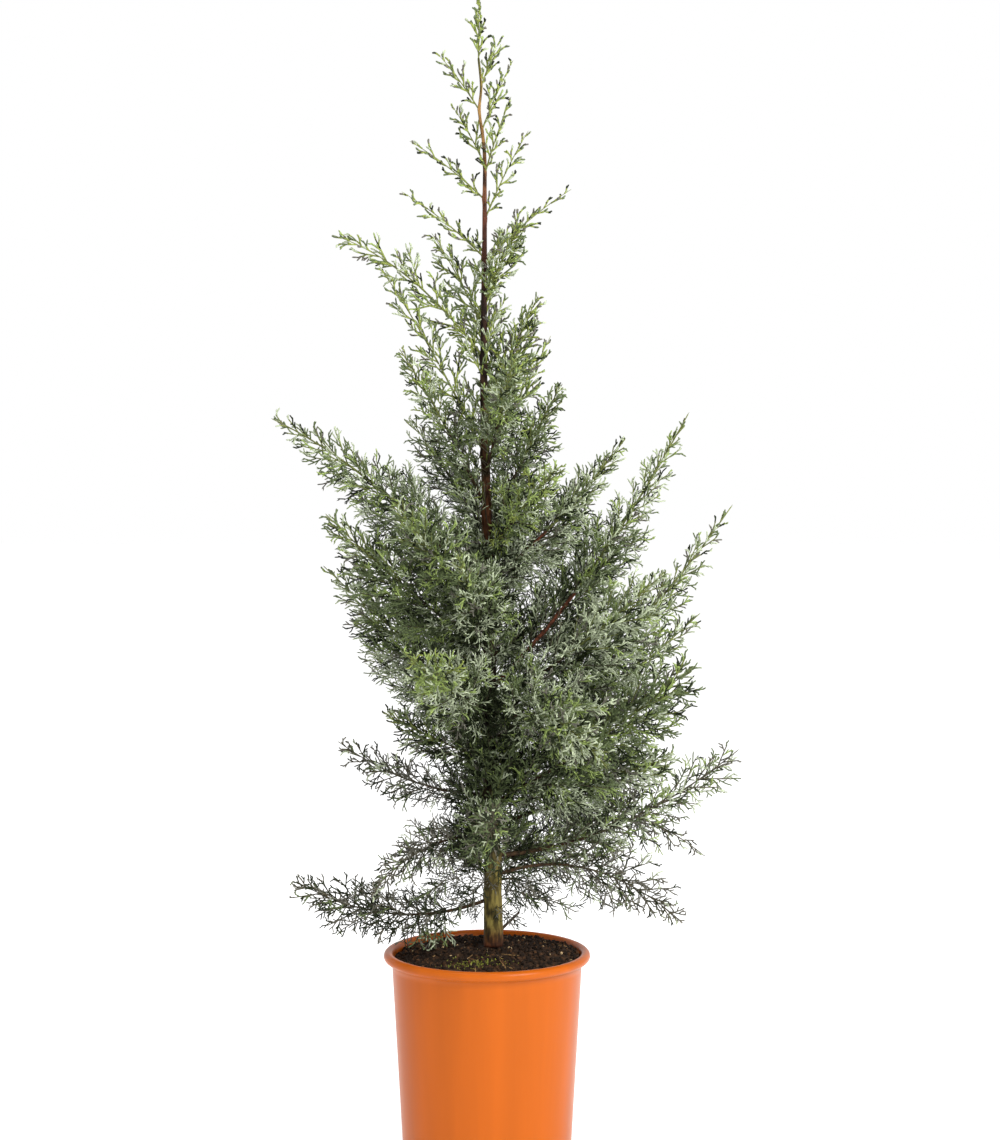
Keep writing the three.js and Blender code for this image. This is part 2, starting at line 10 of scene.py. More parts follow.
import bpy
import numpy as np
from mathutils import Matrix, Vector


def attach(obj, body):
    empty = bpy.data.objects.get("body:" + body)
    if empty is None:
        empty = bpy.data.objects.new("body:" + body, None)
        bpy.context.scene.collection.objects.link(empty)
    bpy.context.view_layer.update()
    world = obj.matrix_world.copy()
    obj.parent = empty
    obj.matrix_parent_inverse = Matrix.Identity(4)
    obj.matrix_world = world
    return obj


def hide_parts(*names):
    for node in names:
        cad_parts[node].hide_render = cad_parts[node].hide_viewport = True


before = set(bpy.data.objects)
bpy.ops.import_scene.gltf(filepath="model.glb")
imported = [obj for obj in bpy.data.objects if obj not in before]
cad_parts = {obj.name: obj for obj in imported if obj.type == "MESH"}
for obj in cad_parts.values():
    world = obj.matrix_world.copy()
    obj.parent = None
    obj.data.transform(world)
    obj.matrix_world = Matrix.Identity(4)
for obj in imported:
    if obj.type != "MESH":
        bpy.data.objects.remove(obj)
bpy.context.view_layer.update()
MM = 0.001

# The view: the photograph's frame is 1000 by 1140 pixels, and the sensor's width lies along the long side.
CAMERA_PLACE = (12, -2400, 727.7)
CAMERA_PITCH = 4.22
CAMERA_LENS = 83.48
SENSOR_WIDTH = 36

# Pot and soil, as in the part's source
POT_HEIGHT = 200
POT_BASE_RADIUS = 76.8
POT_BODY_RADIUS = 87.5
POT_WALL = 2.2
POT_FLOOR = 3
POT_FOOT_BEVEL = 2
LIP_RADIUS = 95
LIP_ROUND = 4.5
LIP_FROM = -80
LIP_TO = 145
LIP_FOOT = POT_HEIGHT - 2 * LIP_ROUND
DRAIN_HOLES = 6
DRAIN_RADIUS = 5
DRAIN_RING = 52
SOIL_EDGE = 195
SOIL_TILT = 0.03
SOIL_SEAT_RADIUS = 20
GROUND = 204

# Trunk and limbs, as in the part's source
TRUNK_POINTS = [(6, 0, 204.3), (5, 1, 275), (0.5, 2, 573), (-2.5, 1, 705), (-1.8, -1, 885),
                (-2.2, 0, 930), (-6.5, 1, 965), (-5, -1, 985), (-7.2, 0, 1011)]
TRUNK_STEPS = 40
TRUNK_RADIUS = 8.5
TRUNK_TIP_RADIUS = 1
TRUNK_TAPER = 1.12
ROOT_FLARE = 0.8
FLARE_HEIGHT = 30
STUB_RISE = 8
STUB_TIP = (30, 12, 233)
STUB_RADIUS = 1.3
TOP_TIP = (-7, 0, 1070)
BOUGH_RADIUS_BASE = 0.8
BOUGH_RADIUS_SHARE = 0.0058

# How many of a hundred sprays have each tone, in the order of TONES, where a tier's shares don't hold
FRESH = (14, 18, 0, 20, 42, 6)
PALE = (18, 23, 2, 53, 4, 0)
SAGE = (14, 40, 6, 28, 12, 0)
GREEN = (16, 50, 4, 14, 16, 0)
DEEP = (35, 42, 7, 10, 6, 0)
DARK = (48, 12, 40, 0, 0, 0)

# A tier of branches: how far a branch's middle hangs as a share of its length, how far foliage stands out
# round it, how bluntly that narrows to the tip, how much closer its shoots stand than in the solids, how
# narrowly twigs open, how much they turn up, the gaps between sprays and between branchlets, the longest of
# each, the radius of a cord of scale leaves, and how many of a hundred sprays have each tone of TONES.
TIERS = {
    "top": dict(hang=0, spread=12, blunt=0.9, closer=3.4, narrow=0.66, lift=0.1,
        spray_gap=6, spray=8, branchlet_gap=7, branchlet=4, cord=1.06, tones=(10, 44, 16, 14, 10, 6)),
    "leader": dict(hang=-0.04, spread=15, blunt=0.9, closer=2.1, narrow=0.68, lift=0.1,
        spray_gap=5.5, spray=11, branchlet_gap=6, branchlet=4.5, cord=1.03, tones=(16, 34, 24, 18, 6, 2)),
    "upper": dict(hang=-0.04, spread=30, blunt=0.9, closer=2.6, narrow=0.74, lift=0.1,
        spray_gap=5, spray=17, branchlet_gap=4.2, branchlet=6, cord=0.95, tones=(8, 36, 10, 32, 10, 4)),
    "shoulder": dict(hang=-0.04, spread=32, blunt=0.9, closer=4.6, narrow=0.85, lift=0.1,
        spray_gap=4, spray=20, branchlet_gap=3.3, branchlet=8, cord=0.82, tones=(12, 46, 4, 22, 12, 4)),
    "middle": dict(hang=0.03, spread=54, blunt=0.95, closer=4.7, narrow=0.8, lift=0.14,
        spray_gap=4.1, spray=30, branchlet_gap=3.9, branchlet=12, cord=0.85, tones=(12, 26, 8, 42, 12, 0)),
    "lower": dict(hang=0.09, spread=37, blunt=0.8, closer=4.2, narrow=1, lift=-0.04,
        spray_gap=4.5, spray=18, branchlet_gap=3.9, branchlet=8, cord=0.76, tones=(27, 13, 49, 11, 0, 0)),
    "back": dict(hang=0.04, spread=52, blunt=0.9, closer=3.5, narrow=0.8, lift=0.14,
        spray_gap=4.2, spray=30, branchlet_gap=3.6, branchlet=12, cord=0.74, tones=(14, 40, 12, 28, 6, 0)),
}
WIDEST_SHARE = 0.27
FALLING_HANG = -0.16

# Wood that no spray may hide: stretches of limbs as shares of their lines, and of the trunk by height
SHOWN_LIMBS = [("middle_4", 0.23, 0.39), ("middle_5", 0.37, 0.45)]
SHOWN_TRUNK = (588, 662)
SHOWN_WIDTH = 5

# The branches that the photograph shows: a name, the height of the foot on the trunk, the tip, and what is
# its own: bare wood that shows, another tier than its name's, other values than its tier's, the share of its
# line where shoots begin, and the share beyond which sprays have certain tones.
SHOWN_BRANCHES = [
    ("leader_1", 986, (14, 14, 1033), {}),
    ("leader_2", 965, (-45, -14, 1015), {}),
    ("leader_3", 947, (24, 22, 1012), {}),
    ("leader_4", 916, (-32, 24, 972), {}),
    ("leader_5", 908, (22, -32, 974), {}),
    ("leader_6", 885, (-70, 16, 939), {}),
    ("leader_7", 867, (38, 34, 950), {}),
    ("leader_8", 833, (-76, -22, 891), {}),
    ("leader_9", 829, (77, 20, 896), {}),
    ("upper_1", 768, (-51, 46, 858), dict(closer=1.8)),
    ("upper_2", 743, (-139, -14, 853), dict(hang=-0.1)),
    ("upper_3", 655, (-98, -22, 828), {}),
    ("upper_4", 605, (-77, -62, 751), dict(tier="shoulder", closer=5.4)),
    ("upper_5", 678, (47, 20, 800), dict(closer=5.6)),
    ("upper_6", 578, (68, -28, 720), dict(tier="shoulder", closer=7.6, tones=(0.1, GREEN))),
    ("upper_7", 632, (25, -108, 742), dict(tier="shoulder", closer=6.2)),
    ("upper_8", 795, (32, -54, 862), dict(closer=4)),
    ("upper_9", 562, (66, -110, 650), dict(tier="shoulder", closer=5.4, tones=(0, FRESH))),
    ("middle_1", 523, (-193, -30, 689), dict(bare=True, hang=-0.07, blunt=1.3, closer=4.8, tones=(0, SAGE))),
    ("middle_2", 477, (-142, -75, 606), dict(closer=5.4, tones=(0, GREEN))),
    ("middle_3", 431, (-152, 40, 552), dict(blunt=1.1)),
    ("middle_4", 441, (185, 20, 694), dict(bare=True, hang=0.065, blunt=1.15, closer=6.8, shoots_from=0.16)),
    ("middle_5", 540, (124, -50, 672),
     dict(bare=True, hang=0.05, blunt=1.3, closer=7.4, shoots_from=0.05, tones=(0.05, PALE))),
    ("middle_6", 395, (221, -30, 612), dict(bare=True, hang=0.085, blunt=1.15, closer=5.6)),
    ("middle_7", 364, (198, 40, 508), {}),
    ("middle_8", 420, (-68, -150, 489), dict(tones=(0.42, FRESH))),
    ("middle_9", 490, (-25, -125, 574), dict(tones=(0.4, SAGE))),
    ("middle_10", 405, (105, -140, 388), dict(tones=(0.62, PALE))),
    ("middle_11", 376, (-93, -46, 427), dict(closer=6, tones=(0, DEEP))),
    ("middle_12", 335, (185, -62, 470), dict(blunt=0.65, tones=(0, GREEN))),
    ("middle_13", 512, (-82, -116, 622), dict(closer=5, tones=(0, GREEN))),
    ("middle_14", 424, (158, -80, 556), dict(shoots_from=0.1, tones=(0.1, PALE))),
    ("middle_15", 347, (165, -20, 380), dict(blunt=0.65, closer=6.4, tones=(0.05, PALE))),
    ("lower_1", 345, (-138, 20, 391), dict(closer=5.4)),
    ("lower_2", 249, (-174, -20, 268),
     dict(bare=True, hang=0.125, blunt=0.5, closer=7, shoots_from=0.22, tones=(0, DARK))),
    ("lower_3", 300, (-107, -72, 262), dict(closer=6.8)),
    ("lower_4", 288, (232, 10, 385),
     dict(bare=True, blunt=0.5, closer=6.4, shoots_from=0.14, tones=(0.08, SAGE))),
    ("lower_5", 312, (206, 62, 275), dict(shoots_from=0.26)),
    ("lower_6", 268, (178, -40, 233), dict(bare=True, blunt=0.6, closer=6, shoots_from=0.3)),
    ("lower_7", 322, (6, -160, 362), dict(tones=(0, DEEP))),
    ("lower_8", 262, (62, 52, 230), dict(closer=1.4, tones=(0, DARK))),
]
BACK_COUNT = 8
BACK_LOWEST = 282
BACK_STEP = 63
BACK_TURN = 50
BACK_REACH = 185
BACK_NARROWING = 18
BACK_RISE = 38
BACK_STEEPENING = 11
BACK_UPPER_FROM = 6
BACK_UPPER = dict(tier="upper", hang=0.04)

# The growth rule, as in the part's source
FULL_SPREAD_AT = 0.25
FOOT_SPREAD = 0.35
TIP_SPREAD = 0.1
SHOOT_SPACING_BASE = 7
SHOOT_SPACING_SHARE = 0.06
OPEN_AT_FOOT = 58
OPEN_AT_TIP = 32
GOLDEN_ANGLE = 137.5
BEND_AT = 0.55
BEND = 0.1
DENSER_FOOT = 1.35

# The rule carried on: shoots stand closer than in the solids, and bear sprays, branchlets and forks. An
# opening is the angle at a parent's foot and at its tip. A reach is a least length, a share of the parent's
# length, and how much of that share is lost towards the parent's tip.
CROSS_ANGLE = 90
SHOOTS_FROM_BARE = 0.15
SHOOTS_FROM_LEAFY = 0.04
SHOOT_REACH = 0.9
SPRAY_ROOM = 2
LEAST_SHOOT = 4
SHOOT_RADIUS = 0.65
SPRAY_OPENING = (50, 38)
SPRAY_REACH = (4, 0.4, 0.72)
SPRAY_INSIDE = 1.15
SPRAY_OUTSIDE = 0.95
BRANCHLET_OPENING = (50, 42)
BRANCHLET_REACH = (2.6, 0.38, 0.55)
BRANCHLET_CORD = 0.92
FORK_GAP = 4.2
FORK_OPENING = (46, 42)
FORK_REACH = (1.4, 0.36, 0)
FORK_CORD = 0.85
LEAST_FORKED = 6.5
CORD_INSIDE = 0.74
CORD_OUTSIDE = 1.08
GAP_INSIDE = 0.74
GAP_OUTSIDE = 1.12
# Painted shade: within this share of a branch's line, inner sprays of some tiers may take the dark shade tone
PAINTED_SHADE_WITHIN = 0.32

# Shoots on the trunk itself: the heights between which they stand, and for each sort its gap, its opening and
# its lengths at the lower and at the upper end
TRUNK_SHOOTS_FROM = 254
DEEP_TO = 425
DENSE_TO = 620
TRUNK_SHOOTS_TO = 850
INNER_SHOOTS = (2.5, (66, 50), (54, 44))
UPPER_SHOOTS = (11, (56, 50), (44, 24))
FOOT_TWIGS_FROM = 232
FOOT_TWIGS_TO = 300
FOOT_TWIGS = (5.2, (88, 106), (60, 84))
FOOT_TWIG_RADIUS = 0.6
FOOT_TWIG_FALL = 4

# Pale shoots inside the pot's rim: the share of the limb where each begins, and its tip
RIM_LIMB = "lower_2"
RIM_LIKE = "lower_4"
RIM_OUT = 0.6
RIM_SHOOTS = [(0.25, (-36, -24, 208)), (0.3, (-46, -32, 207)),
              (0.34, (-52, -20, 209)), (0.38, (-60, -28, 209))]

# Room that twigs leave round other things
TRUNK_CLEARANCE = 1.2
SOIL_CLEARANCE = 2
LOWEST_LEAVES = 203

# Meshes: the wood's share of a branch, cords, and the fineness of each kind
WOOD_SHARE = 0.43
WOODY_WITHIN = 0.45
STEM_SHARE = 0.5
FINE_WITHIN = 0.4
RED_WOOD = ("middle_4", "middle_5")
PIECE_TRIANGLES = 190000
POT_SIDES = 144
DRAIN_SIDES = 24
SOIL_SIDES = 150
SOIL_RINGS = 60
CRUMB_SIDES = 5
MOSS_SIDES = 4
TRUNK_SIDES = 44
TRUNK_RINGS = 340
BOUGH_SIDES = 10
STEM_SIDES = 8
TWIG_SIDES = 4
LEAF_SIDES = 3
SEED = 7

# Relief: heights, sizes of the bumps and seeds
BARK_RIDGES = [(0.5, (3.2, 3.2, 16), 11), (0.3, (1.6, 1.6, 6), 12)]
RIDGE_RING = 8
LEAST_RIDGES = 0.15
FOOT_LOBES = 5
LOBE_RELIEF = 0.3
COLLAR_RELIEF = 0.5
COLLAR_REACH = 2
BOUGH_RELIEF = 0.16
BOUGH_BUMPS = (2, 2, 4)
STUB_RELIEF = 0.25
SOIL_CLODS = [(1.5, 11, 3), (1.1, 5, 4), (0.7, 2.4, 5)]
CLOD_SINK = 0.8

# Rings of the spindles: shares of the length and of the radius
SPRAY_RINGS = [(0.08, 0.88), (0.8, 0.9)]
BRANCHLET_RINGS = [(0.06, 0.9), (0.75, 0.92)]
FINE_RINGS = [(0.45, 1)]
FORK_RINGS = [(0.4, 1)]
STEM_RINGS = [(0.02, 0.9), (0.98, 1)]
TIP_RINGS = [(0.02, 1), (0.5, 0.9), (0.85, 0.6)]
TWIG_RINGS = [(0.02, 1), (0.35, 0.95), (0.7, 0.85), (0.96, 0.7)]
CRUMB_RINGS = [(0.25, 0.9), (0.7, 0.8)]
STRAW_RINGS = [(0.03, 1), (0.35, 1), (0.7, 0.9), (0.97, 0.8)]
MOSS_RINGS = [(0.4, 1)]

# Colours as they are read from a screen, from 0 to 255
TONES = {
    # The shade tone, a near-black green, is painted shade on sprays deep in the crown.
    "shade": (29, 37, 14),
    "glaucous": (90, 102, 67),
    "grey": (96, 94, 84),
    "pale": (161, 170, 142),
    "light": (131, 148, 84),
    "fresh": (124, 135, 66),
}
# The trunk's colour by share of its height: its own bark colours, and a darker band from about a fifth to a
# third of the height that is painted shade inside the crown
BARK_AND_SHADE_BY_HEIGHT = [
    (0.0, (96, 50, 32)), (0.012, (108, 76, 42)), (0.025, (132, 121, 66)), (0.085, (118, 109, 60)),
    (0.115, (84, 74, 44)), (0.2, (58, 46, 30)), (0.32, (54, 41, 29)), (0.42, (92, 62, 42)),
    (0.5, (110, 70, 46)), (0.58, (82, 60, 40)), (0.68, (54, 36, 26)), (0.74, (68, 43, 34)),
    (0.82, (86, 48, 36)), (0.87, (120, 80, 54)), (0.91, (154, 118, 74)), (0.95, (158, 126, 76)),
    (1.0, (136, 140, 76))]
BARK_STREAKS = [(0.34, (96, 88, 80)), (0.62, (255, 250, 240))]
BARK_MOTTLES = [(0.42, (112, 104, 88)), (0.56, (255, 252, 244))]
GREEN_TWIG = (98, 104, 56)
GREY_TWIG = (70, 66, 52)
RED_BOUGH = (92, 52, 36)
DARK_BOUGH = (54, 40, 26)
DEAD_WOOD = (58, 48, 40)
ORANGE = (173, 83, 13)
SOIL_DARK = (30, 20, 12)
SOIL_BED = (44.4, 30, 18.4)
SOIL_BROWN = (66, 45, 28)
CRUMB_TAN = (176, 150, 112)
MOSS = (122, 126, 52)
STRAW = (128, 100, 64)
WHITE = (255, 255, 255)
DIM_WHITE = (190, 190, 190)

# What lies on the soil. Crumbs: a name, how many, the least and the greatest size, and a colour
SOIL_GAP = 0.4
BED_DROP = 6
CRUMBS = [
    ("soil_crumbs", 1500, (0.8, 2.6), SOIL_DARK),
    ("soil_chips", 420, (0.8, 2.4), SOIL_BROWN),
    ("soil_grit", 46, (0.8, 1.9), CRUMB_TAN),
]
STRAWS = 14
STRAW_HALVES = (3, 11)
MOSS_SHOOTS = 420
MOSS_PLACE = (-8, -55)
MOSS_WIDTHS = (13, 6)

# The stage. Lights: a name, a place, a size in metres and a power in watts
FLOOR_HALF = 9000
FLOOR_GREY = 0.75
FLOOR_GLOW = 0.52
LIGHTS = [("key", (1700, -1900, 1900), 1.4, 100), ("overhead", (-200, -300, 3400), 1.8, 55)]
LIGHT_AIM = (0, 0, 550)

UP = np.array((0.0, 0.0, 1.0))
ACROSS = np.array((1.0, 0.0, 0.0))
NEARLY_UPRIGHT = 0.9


# Small tools

def mix(a, b, share):
    return a + (b - a) * share


def unit(vectors):
    return vectors / np.maximum(np.linalg.norm(vectors, axis=-1, keepdims=True), 1e-9)


def scaled(vectors, factors):
    return vectors * np.asarray(factors)[..., None]


def sideways(heading):
    """Directions square to headings."""
    return unit(np.cross(heading, np.where(np.abs(heading[:, 2:]) > NEARLY_UPRIGHT, ACROSS, UP)))


def level(length, turn):
    """Level vectors of a length that point by a turn round the upright axis."""
    return scaled(np.stack([np.cos(turn), np.sin(turn), np.zeros(len(turn))], axis=1), length)


def turns_of(sides):
    """Even turns once round."""
    return np.linspace(0, 2 * math.pi, sides, endpoint=False)


def lattice(cells, seed):
    """A number from 0 to 1 for each whole-numbered cell, the same at each run."""
    mixed = cells[..., 0] * 374761393 + cells[..., 1] * 668265263 + cells[..., 2] * 362437 + seed * 974711
    mixed = (mixed ^ (mixed >> 13)) * 1274126177
    mixed = mixed ^ (mixed >> 16)
    return (mixed & 0xFFFF) / 0xFFFF


def noise(points, size, seed):
    """Smooth noise from -1 to 1, with bumps of about that size."""
    places = points / np.asarray(size)
    cell = np.floor(places).astype(np.int64)
    share = places - cell
    share = share * share * (3 - 2 * share)
    total = np.zeros(points.shape[:-1])
    for corner in np.ndindex(2, 2, 2):
        weight = np.prod(np.where(corner, share, 1 - share), axis=-1)
        total += weight * lattice(cell + np.array(corner), seed)
    return 2 * total - 1


def linear(colour):
    """A screen colour as the shader's linear colour."""
    shares = np.array(colour) / 255
    return tuple(np.where(shares <= 0.04045, shares / 12.92, ((shares + 0.055) / 1.055) ** 2.4)) + (1.0,)


# Lines

def through(points, steps):
    """A smooth line through points: a centripetal Catmull-Rom spline."""
    points = np.array(points, float)
    ends = np.vstack([2 * points[0] - points[1], points, 2 * points[-1] - points[-2]])
    share = np.linspace(0, 1, steps)[:, None]
    square, cube = share ** 2, share ** 3
    spans = []
    for p0, p1, p2, p3 in zip(ends, ends[1:], ends[2:], ends[3:]):
        d0, d1, d2 = (np.linalg.norm(b - a) ** 0.5 for a, b in ((p0, p1), (p1, p2), (p2, p3)))
        slope_1 = d1 * ((p1 - p0) / d0 - (p2 - p0) / (d0 + d1) + (p2 - p1) / d1)
        slope_2 = d1 * ((p2 - p1) / d1 - (p3 - p1) / (d1 + d2) + (p3 - p2) / d2)
        spans.append((2 * cube - 3 * square + 1) * p1 + (cube - 2 * square + share) * slope_1
                     + (3 * square - 2 * cube) * p2 + (cube - square) * slope_2)
    return np.vstack(spans)


TRUNK_LINE = through(TRUNK_POINTS, TRUNK_STEPS)
TRUNK_TIP = TRUNK_LINE[-1]


def trunk_at(height):
    """The trunk's middle at each height."""
    height = np.asarray(height, float)
    x = np.interp(height, TRUNK_LINE[:, 2], TRUNK_LINE[:, 0])
    y = np.interp(height, TRUNK_LINE[:, 2], TRUNK_LINE[:, 1])
    return np.stack([x, y, height], axis=-1)


def trunk_radius(height):
    along = np.clip((height - GROUND) / (TRUNK_TIP[2] - GROUND), 0, 1)
    taper = TRUNK_TIP_RADIUS + (TRUNK_RADIUS - TRUNK_TIP_RADIUS) * (1 - along) ** TRUNK_TAPER
    return taper + ROOT_FLARE * np.exp(-(height - GROUND) / FLARE_HEIGHT)


class Twigs:
    """Many twigs at once. Each bends once on its way from its foot to its tip.

    radius is at the foot, branch says which branch bears the twig, out how far along that branch it stands,
    and tone which leaf colour it takes.
    """

    FIELDS = ("foot", "bend", "tip", "radius", "branch", "out", "tone")

    def __init__(self, foot, bend, tip, radius, branch, out, tone=None):
        self.foot, self.bend, self.tip = foot, bend, tip
        self.radius = np.broadcast_to(np.asarray(radius, float), len(foot))
        self.branch, self.out = branch, out
        self.tone = np.zeros(len(foot), int) if tone is None else tone
        self.length = np.linalg.norm(bend - foot, axis=1) + np.linalg.norm(tip - bend, axis=1)

    def __len__(self):
        return len(self.foot)

    def only(self, keep):
        return Twigs(*(getattr(self, field)[keep] for field in self.FIELDS))

    def picked(self, share, which):
        """Feet, bends and tips of some twigs, and a share for each."""
        foot, bend, tip = self.foot[which], self.bend[which], self.tip[which]
        return foot, bend, tip, np.broadcast_to(share, len(foot))

    def at(self, share, which=slice(None)):
        """The place at a share of each line."""
        foot, bend, tip, share = self.picked(share, which)
        return (scaled(foot, (1 - share) ** 2) + scaled(bend, 2 * share * (1 - share))
                + scaled(tip, share ** 2))

    def stretch(self, start, stop, radius):
        """The part of each twig between two shares of its line."""
        bend = ((1 - start) * (1 - stop) * self.foot + (start + stop - 2 * start * stop) * self.bend
                + start * stop * self.tip)
        return Twigs(self.at(start), bend, self.at(stop), radius, self.branch, self.out, self.tone)

    def heading(self, share, which=slice(None)):
        foot, bend, tip, share = self.picked(share, which)
        return unit(scaled(bend - foot, 1 - share) + scaled(tip - bend, share))


def loose(foot, bend, tip, radius):
    """Twigs that no branch bears."""
    return Twigs(foot, bend, tip, radius, np.zeros(len(foot), int), np.zeros(len(foot)))


def together(groups):
    """Several groups of twigs as one."""
    return Twigs(*(np.concatenate([getattr(group, field) for group in groups]) for field in Twigs.FIELDS))


# Branches

def back_branch(k):
    """The branches round the back finish the crown like the side that shows."""
    turn = math.radians(90 + (k % 3 - 1) * BACK_TURN)
    reach = BACK_REACH - BACK_NARROWING * k
    foot = BACK_LOWEST + BACK_STEP * k
    rise = BACK_RISE + BACK_STEEPENING * k
    tip = (reach * math.cos(turn), reach * math.sin(turn), foot + rise)
    return f"back_{k + 1}", foot, tip, BACK_UPPER if k >= BACK_UPPER_FROM else {}


ROWS = [("top", TRUNK_TIP[2], TOP_TIP, {})] + SHOWN_BRANCHES + [back_branch(k) for k in range(BACK_COUNT)]
NAMES = [row[0] for row in ROWS]
OWNS = [row[3] for row in ROWS]
BARE = ["bare" in own for own in OWNS]
KIND = [own.get("tier", name.split("_")[0]) for name, own in zip(NAMES, OWNS)]
TIER = [TIERS[kind] for kind in KIND]


def values(field):
    """A value for each branch: its own, or else its tier's."""
    return np.array([own.get(field, tier[field]) for own, tier in zip(OWNS, TIER)], float)


def of_kind(*kinds):
    """Whether each branch is of one of these tiers."""
    return np.array([kind in kinds for kind in KIND])


SPREAD, BLUNT, CLOSER, NARROW, LIFT, CORD = map(
    values, ("spread", "blunt", "closer", "narrow", "lift", "cord"))
SPRAY_GAP, SPRAY, BRANCHLET_GAP, BRANCHLET = map(values, ("spray_gap", "spray", "branchlet_gap", "branchlet"))
SHOOTS_FROM = np.array([own.get("shoots_from", SHOOTS_FROM_BARE if bare else SHOOTS_FROM_LEAFY)
                        for own, bare in zip(OWNS, BARE)])
DENSE = of_kind("shoulder", "middle", "lower", "back")
FORKED = of_kind("shoulder", "middle", "back")
# The tiers whose inner sprays take painted shade
PAINTED_SHADE_TIERS = of_kind("middle", "lower", "back")
LOWER = of_kind("lower")


def make_branches():
    foot = trunk_at([row[1] for row in ROWS])
    tip = np.array([row[2] for row in ROWS], float)
    length = np.linalg.norm(tip - foot, axis=1)
    usual = np.where(tip[:, 2] > foot[:, 2], values("hang"), FALLING_HANG)
    hang = np.array([own.get("hang", share) for own, share in zip(OWNS, usual)])
    bend = (foot + tip) / 2 - np.outer(2 * hang * length, UP)
    radius = BOUGH_RADIUS_BASE + BOUGH_RADIUS_SHARE * length
    return Twigs(foot, bend, tip, radius, np.arange(len(ROWS)), np.zeros(len(ROWS)))


# Growth

def turned_away(heading, angle, roll):
    """Directions turned away from headings by an angle, at a roll round them."""
    side = sideways(heading)
    out = scaled(side, np.cos(roll)) + scaled(np.cross(heading, side), np.sin(roll))
    return scaled(heading, np.cos(angle)) + scaled(out, np.sin(angle))


def soil_height(x, y):
    """The soil is mounded up to the trunk, and at the wall it rises a little to the right."""
    edge_radius = POT_BODY_RADIUS - POT_WALL
    inward = np.clip((edge_radius - np.hypot(x, y)) / (edge_radius - SOIL_SEAT_RADIUS), 0, 1)
    return mix(SOIL_EDGE, GROUND, np.sin(inward * math.pi / 2)) + SOIL_TILT * (1 - inward) * x


def is_clear(points):
    """Whether points lie clear of the trunk, of the pot's rim and of the soil."""
    height = points[:, 2]
    from_trunk = np.linalg.norm(points - trunk_at(height), axis=1)
    in_trunk = (height < TRUNK_TIP[2]) & (from_trunk < trunk_radius(height) + TRUNK_CLEARANCE)
    from_axis = np.hypot(points[:, 0], points[:, 1])
    on_pot = (from_axis < LIP_RADIUS + SOIL_CLEARANCE) & (height < POT_HEIGHT + SOIL_CLEARANCE)
    on_soil = (from_axis < LIP_RADIUS) & (height < soil_height(points[:, 0], points[:, 1]) + SOIL_CLEARANCE)
    return ~(in_trunk | on_pot | on_soil | (height < LOWEST_LEAVES))


def grow(parents, random, spacing, opening, length_at, radius, first=0.04, last=0.96, spin=CROSS_ANGLE,
         scatter=25, bend=BEND, lift=1.0, on_branch=False, denser=1.0, vary=(0.8, 1.2)):
    """Twigs along parents, a spacing apart, opening from them by an angle that changes from foot to tip.

    They stand between the shares first and last of a parent's line, denser towards its foot. spin and scatter
    turn each one round the parent, bend and lift turn its outer part, and vary bounds its random length.
    """
    first = np.broadcast_to(first, len(parents))
    counts = np.round(parents.length * (last - first) / spacing).astype(int)
    owner = np.repeat(np.arange(len(parents)), counts)
    rank = np.arange(len(owner)) - np.repeat(np.cumsum(counts) - counts, counts)
    within = ((rank + 0.5) / counts[owner]) ** denser
    along = mix(first[owner], last, within)
    branch = parents.branch[owner]
    open_angle = NARROW[branch] * np.radians(mix(*opening, within))
    first_roll = random.uniform(0, 2 * math.pi, len(parents))
    roll = first_roll[owner] + np.radians(rank * spin + random.normal(0, scatter, len(owner)))
    heading = parents.heading(along, owner)
    direction = turned_away(heading, open_angle, roll)
    length = length_at(owner, within, open_angle) * random.uniform(*vary, len(owner))
    foot = parents.at(along, owner)
    turn = foot + scaled(direction, BEND_AT * length)
    later = unit(mix(direction, heading, bend) + np.outer(lift * LIFT[branch], UP))
    tip = turn + scaled(later, (1 - BEND_AT) * length)
    out = along if on_branch else parents.out[owner]
    stout = np.where(DENSE[branch], mix(CORD_INSIDE, CORD_OUTSIDE, out), 1)
    radius = np.broadcast_to(radius, len(ROWS))[branch] * stout
    made = Twigs(foot, turn, tip, radius, branch, out, parents.tone[owner])
    return made.only(is_clear(made.bend) & is_clear(made.tip))


def plume(along, blunt):
    """How far foliage stands out along a stem: quickly wider from its foot, then narrowing to its tip."""
    opening = mix(FOOT_SPREAD, 1, np.minimum(1, along / FULL_SPREAD_AT))
    return opening * (1 - along) ** blunt + TIP_SPREAD


def grow_shoots(branches, random):
    """The shoots of the source's rule, closer together than in the solids."""
    spacing = (SHOOT_SPACING_BASE + SHOOT_SPACING_SHARE * branches.length) / CLOSER
    spread = np.minimum(SPREAD, WIDEST_SHARE * branches.length)

    def length_at(owner, along, open_angle):
        stand = SHOOT_REACH * spread[owner] * plume(along, BLUNT[owner])
        return np.maximum(stand / np.sin(open_angle) - SPRAY_ROOM, LEAST_SHOOT)

    return grow(branches, random, spacing, (OPEN_AT_FOOT, OPEN_AT_TIP), length_at,
                np.where(DENSE, SHOOT_RADIUS, CORD), first=SHOOTS_FROM, spin=GOLDEN_ANGLE, scatter=10,
                on_branch=True, denser=DENSER_FOOT, vary=(0.65, 1.2))


def trunk_stretch(start, stop, like):
    """A stretch of the trunk as a twig that bears shoots like those of a branch."""
    foot, tip = trunk_at([start]), trunk_at([stop])
    return Twigs(foot, (foot + tip) / 2, tip, 1, np.array([NAMES.index(like)]), np.zeros(1))


def grow_on_trunk(trunk, random, sort, radius, **more):
    """Shoots of one sort along stretches of the trunk."""
    gap, opening, lengths = sort

    def length_at(owner, along, open_angle):
        return mix(*lengths, along)

    return grow(trunk, random, gap, opening, length_at, radius, spin=GOLDEN_ANGLE, **more)


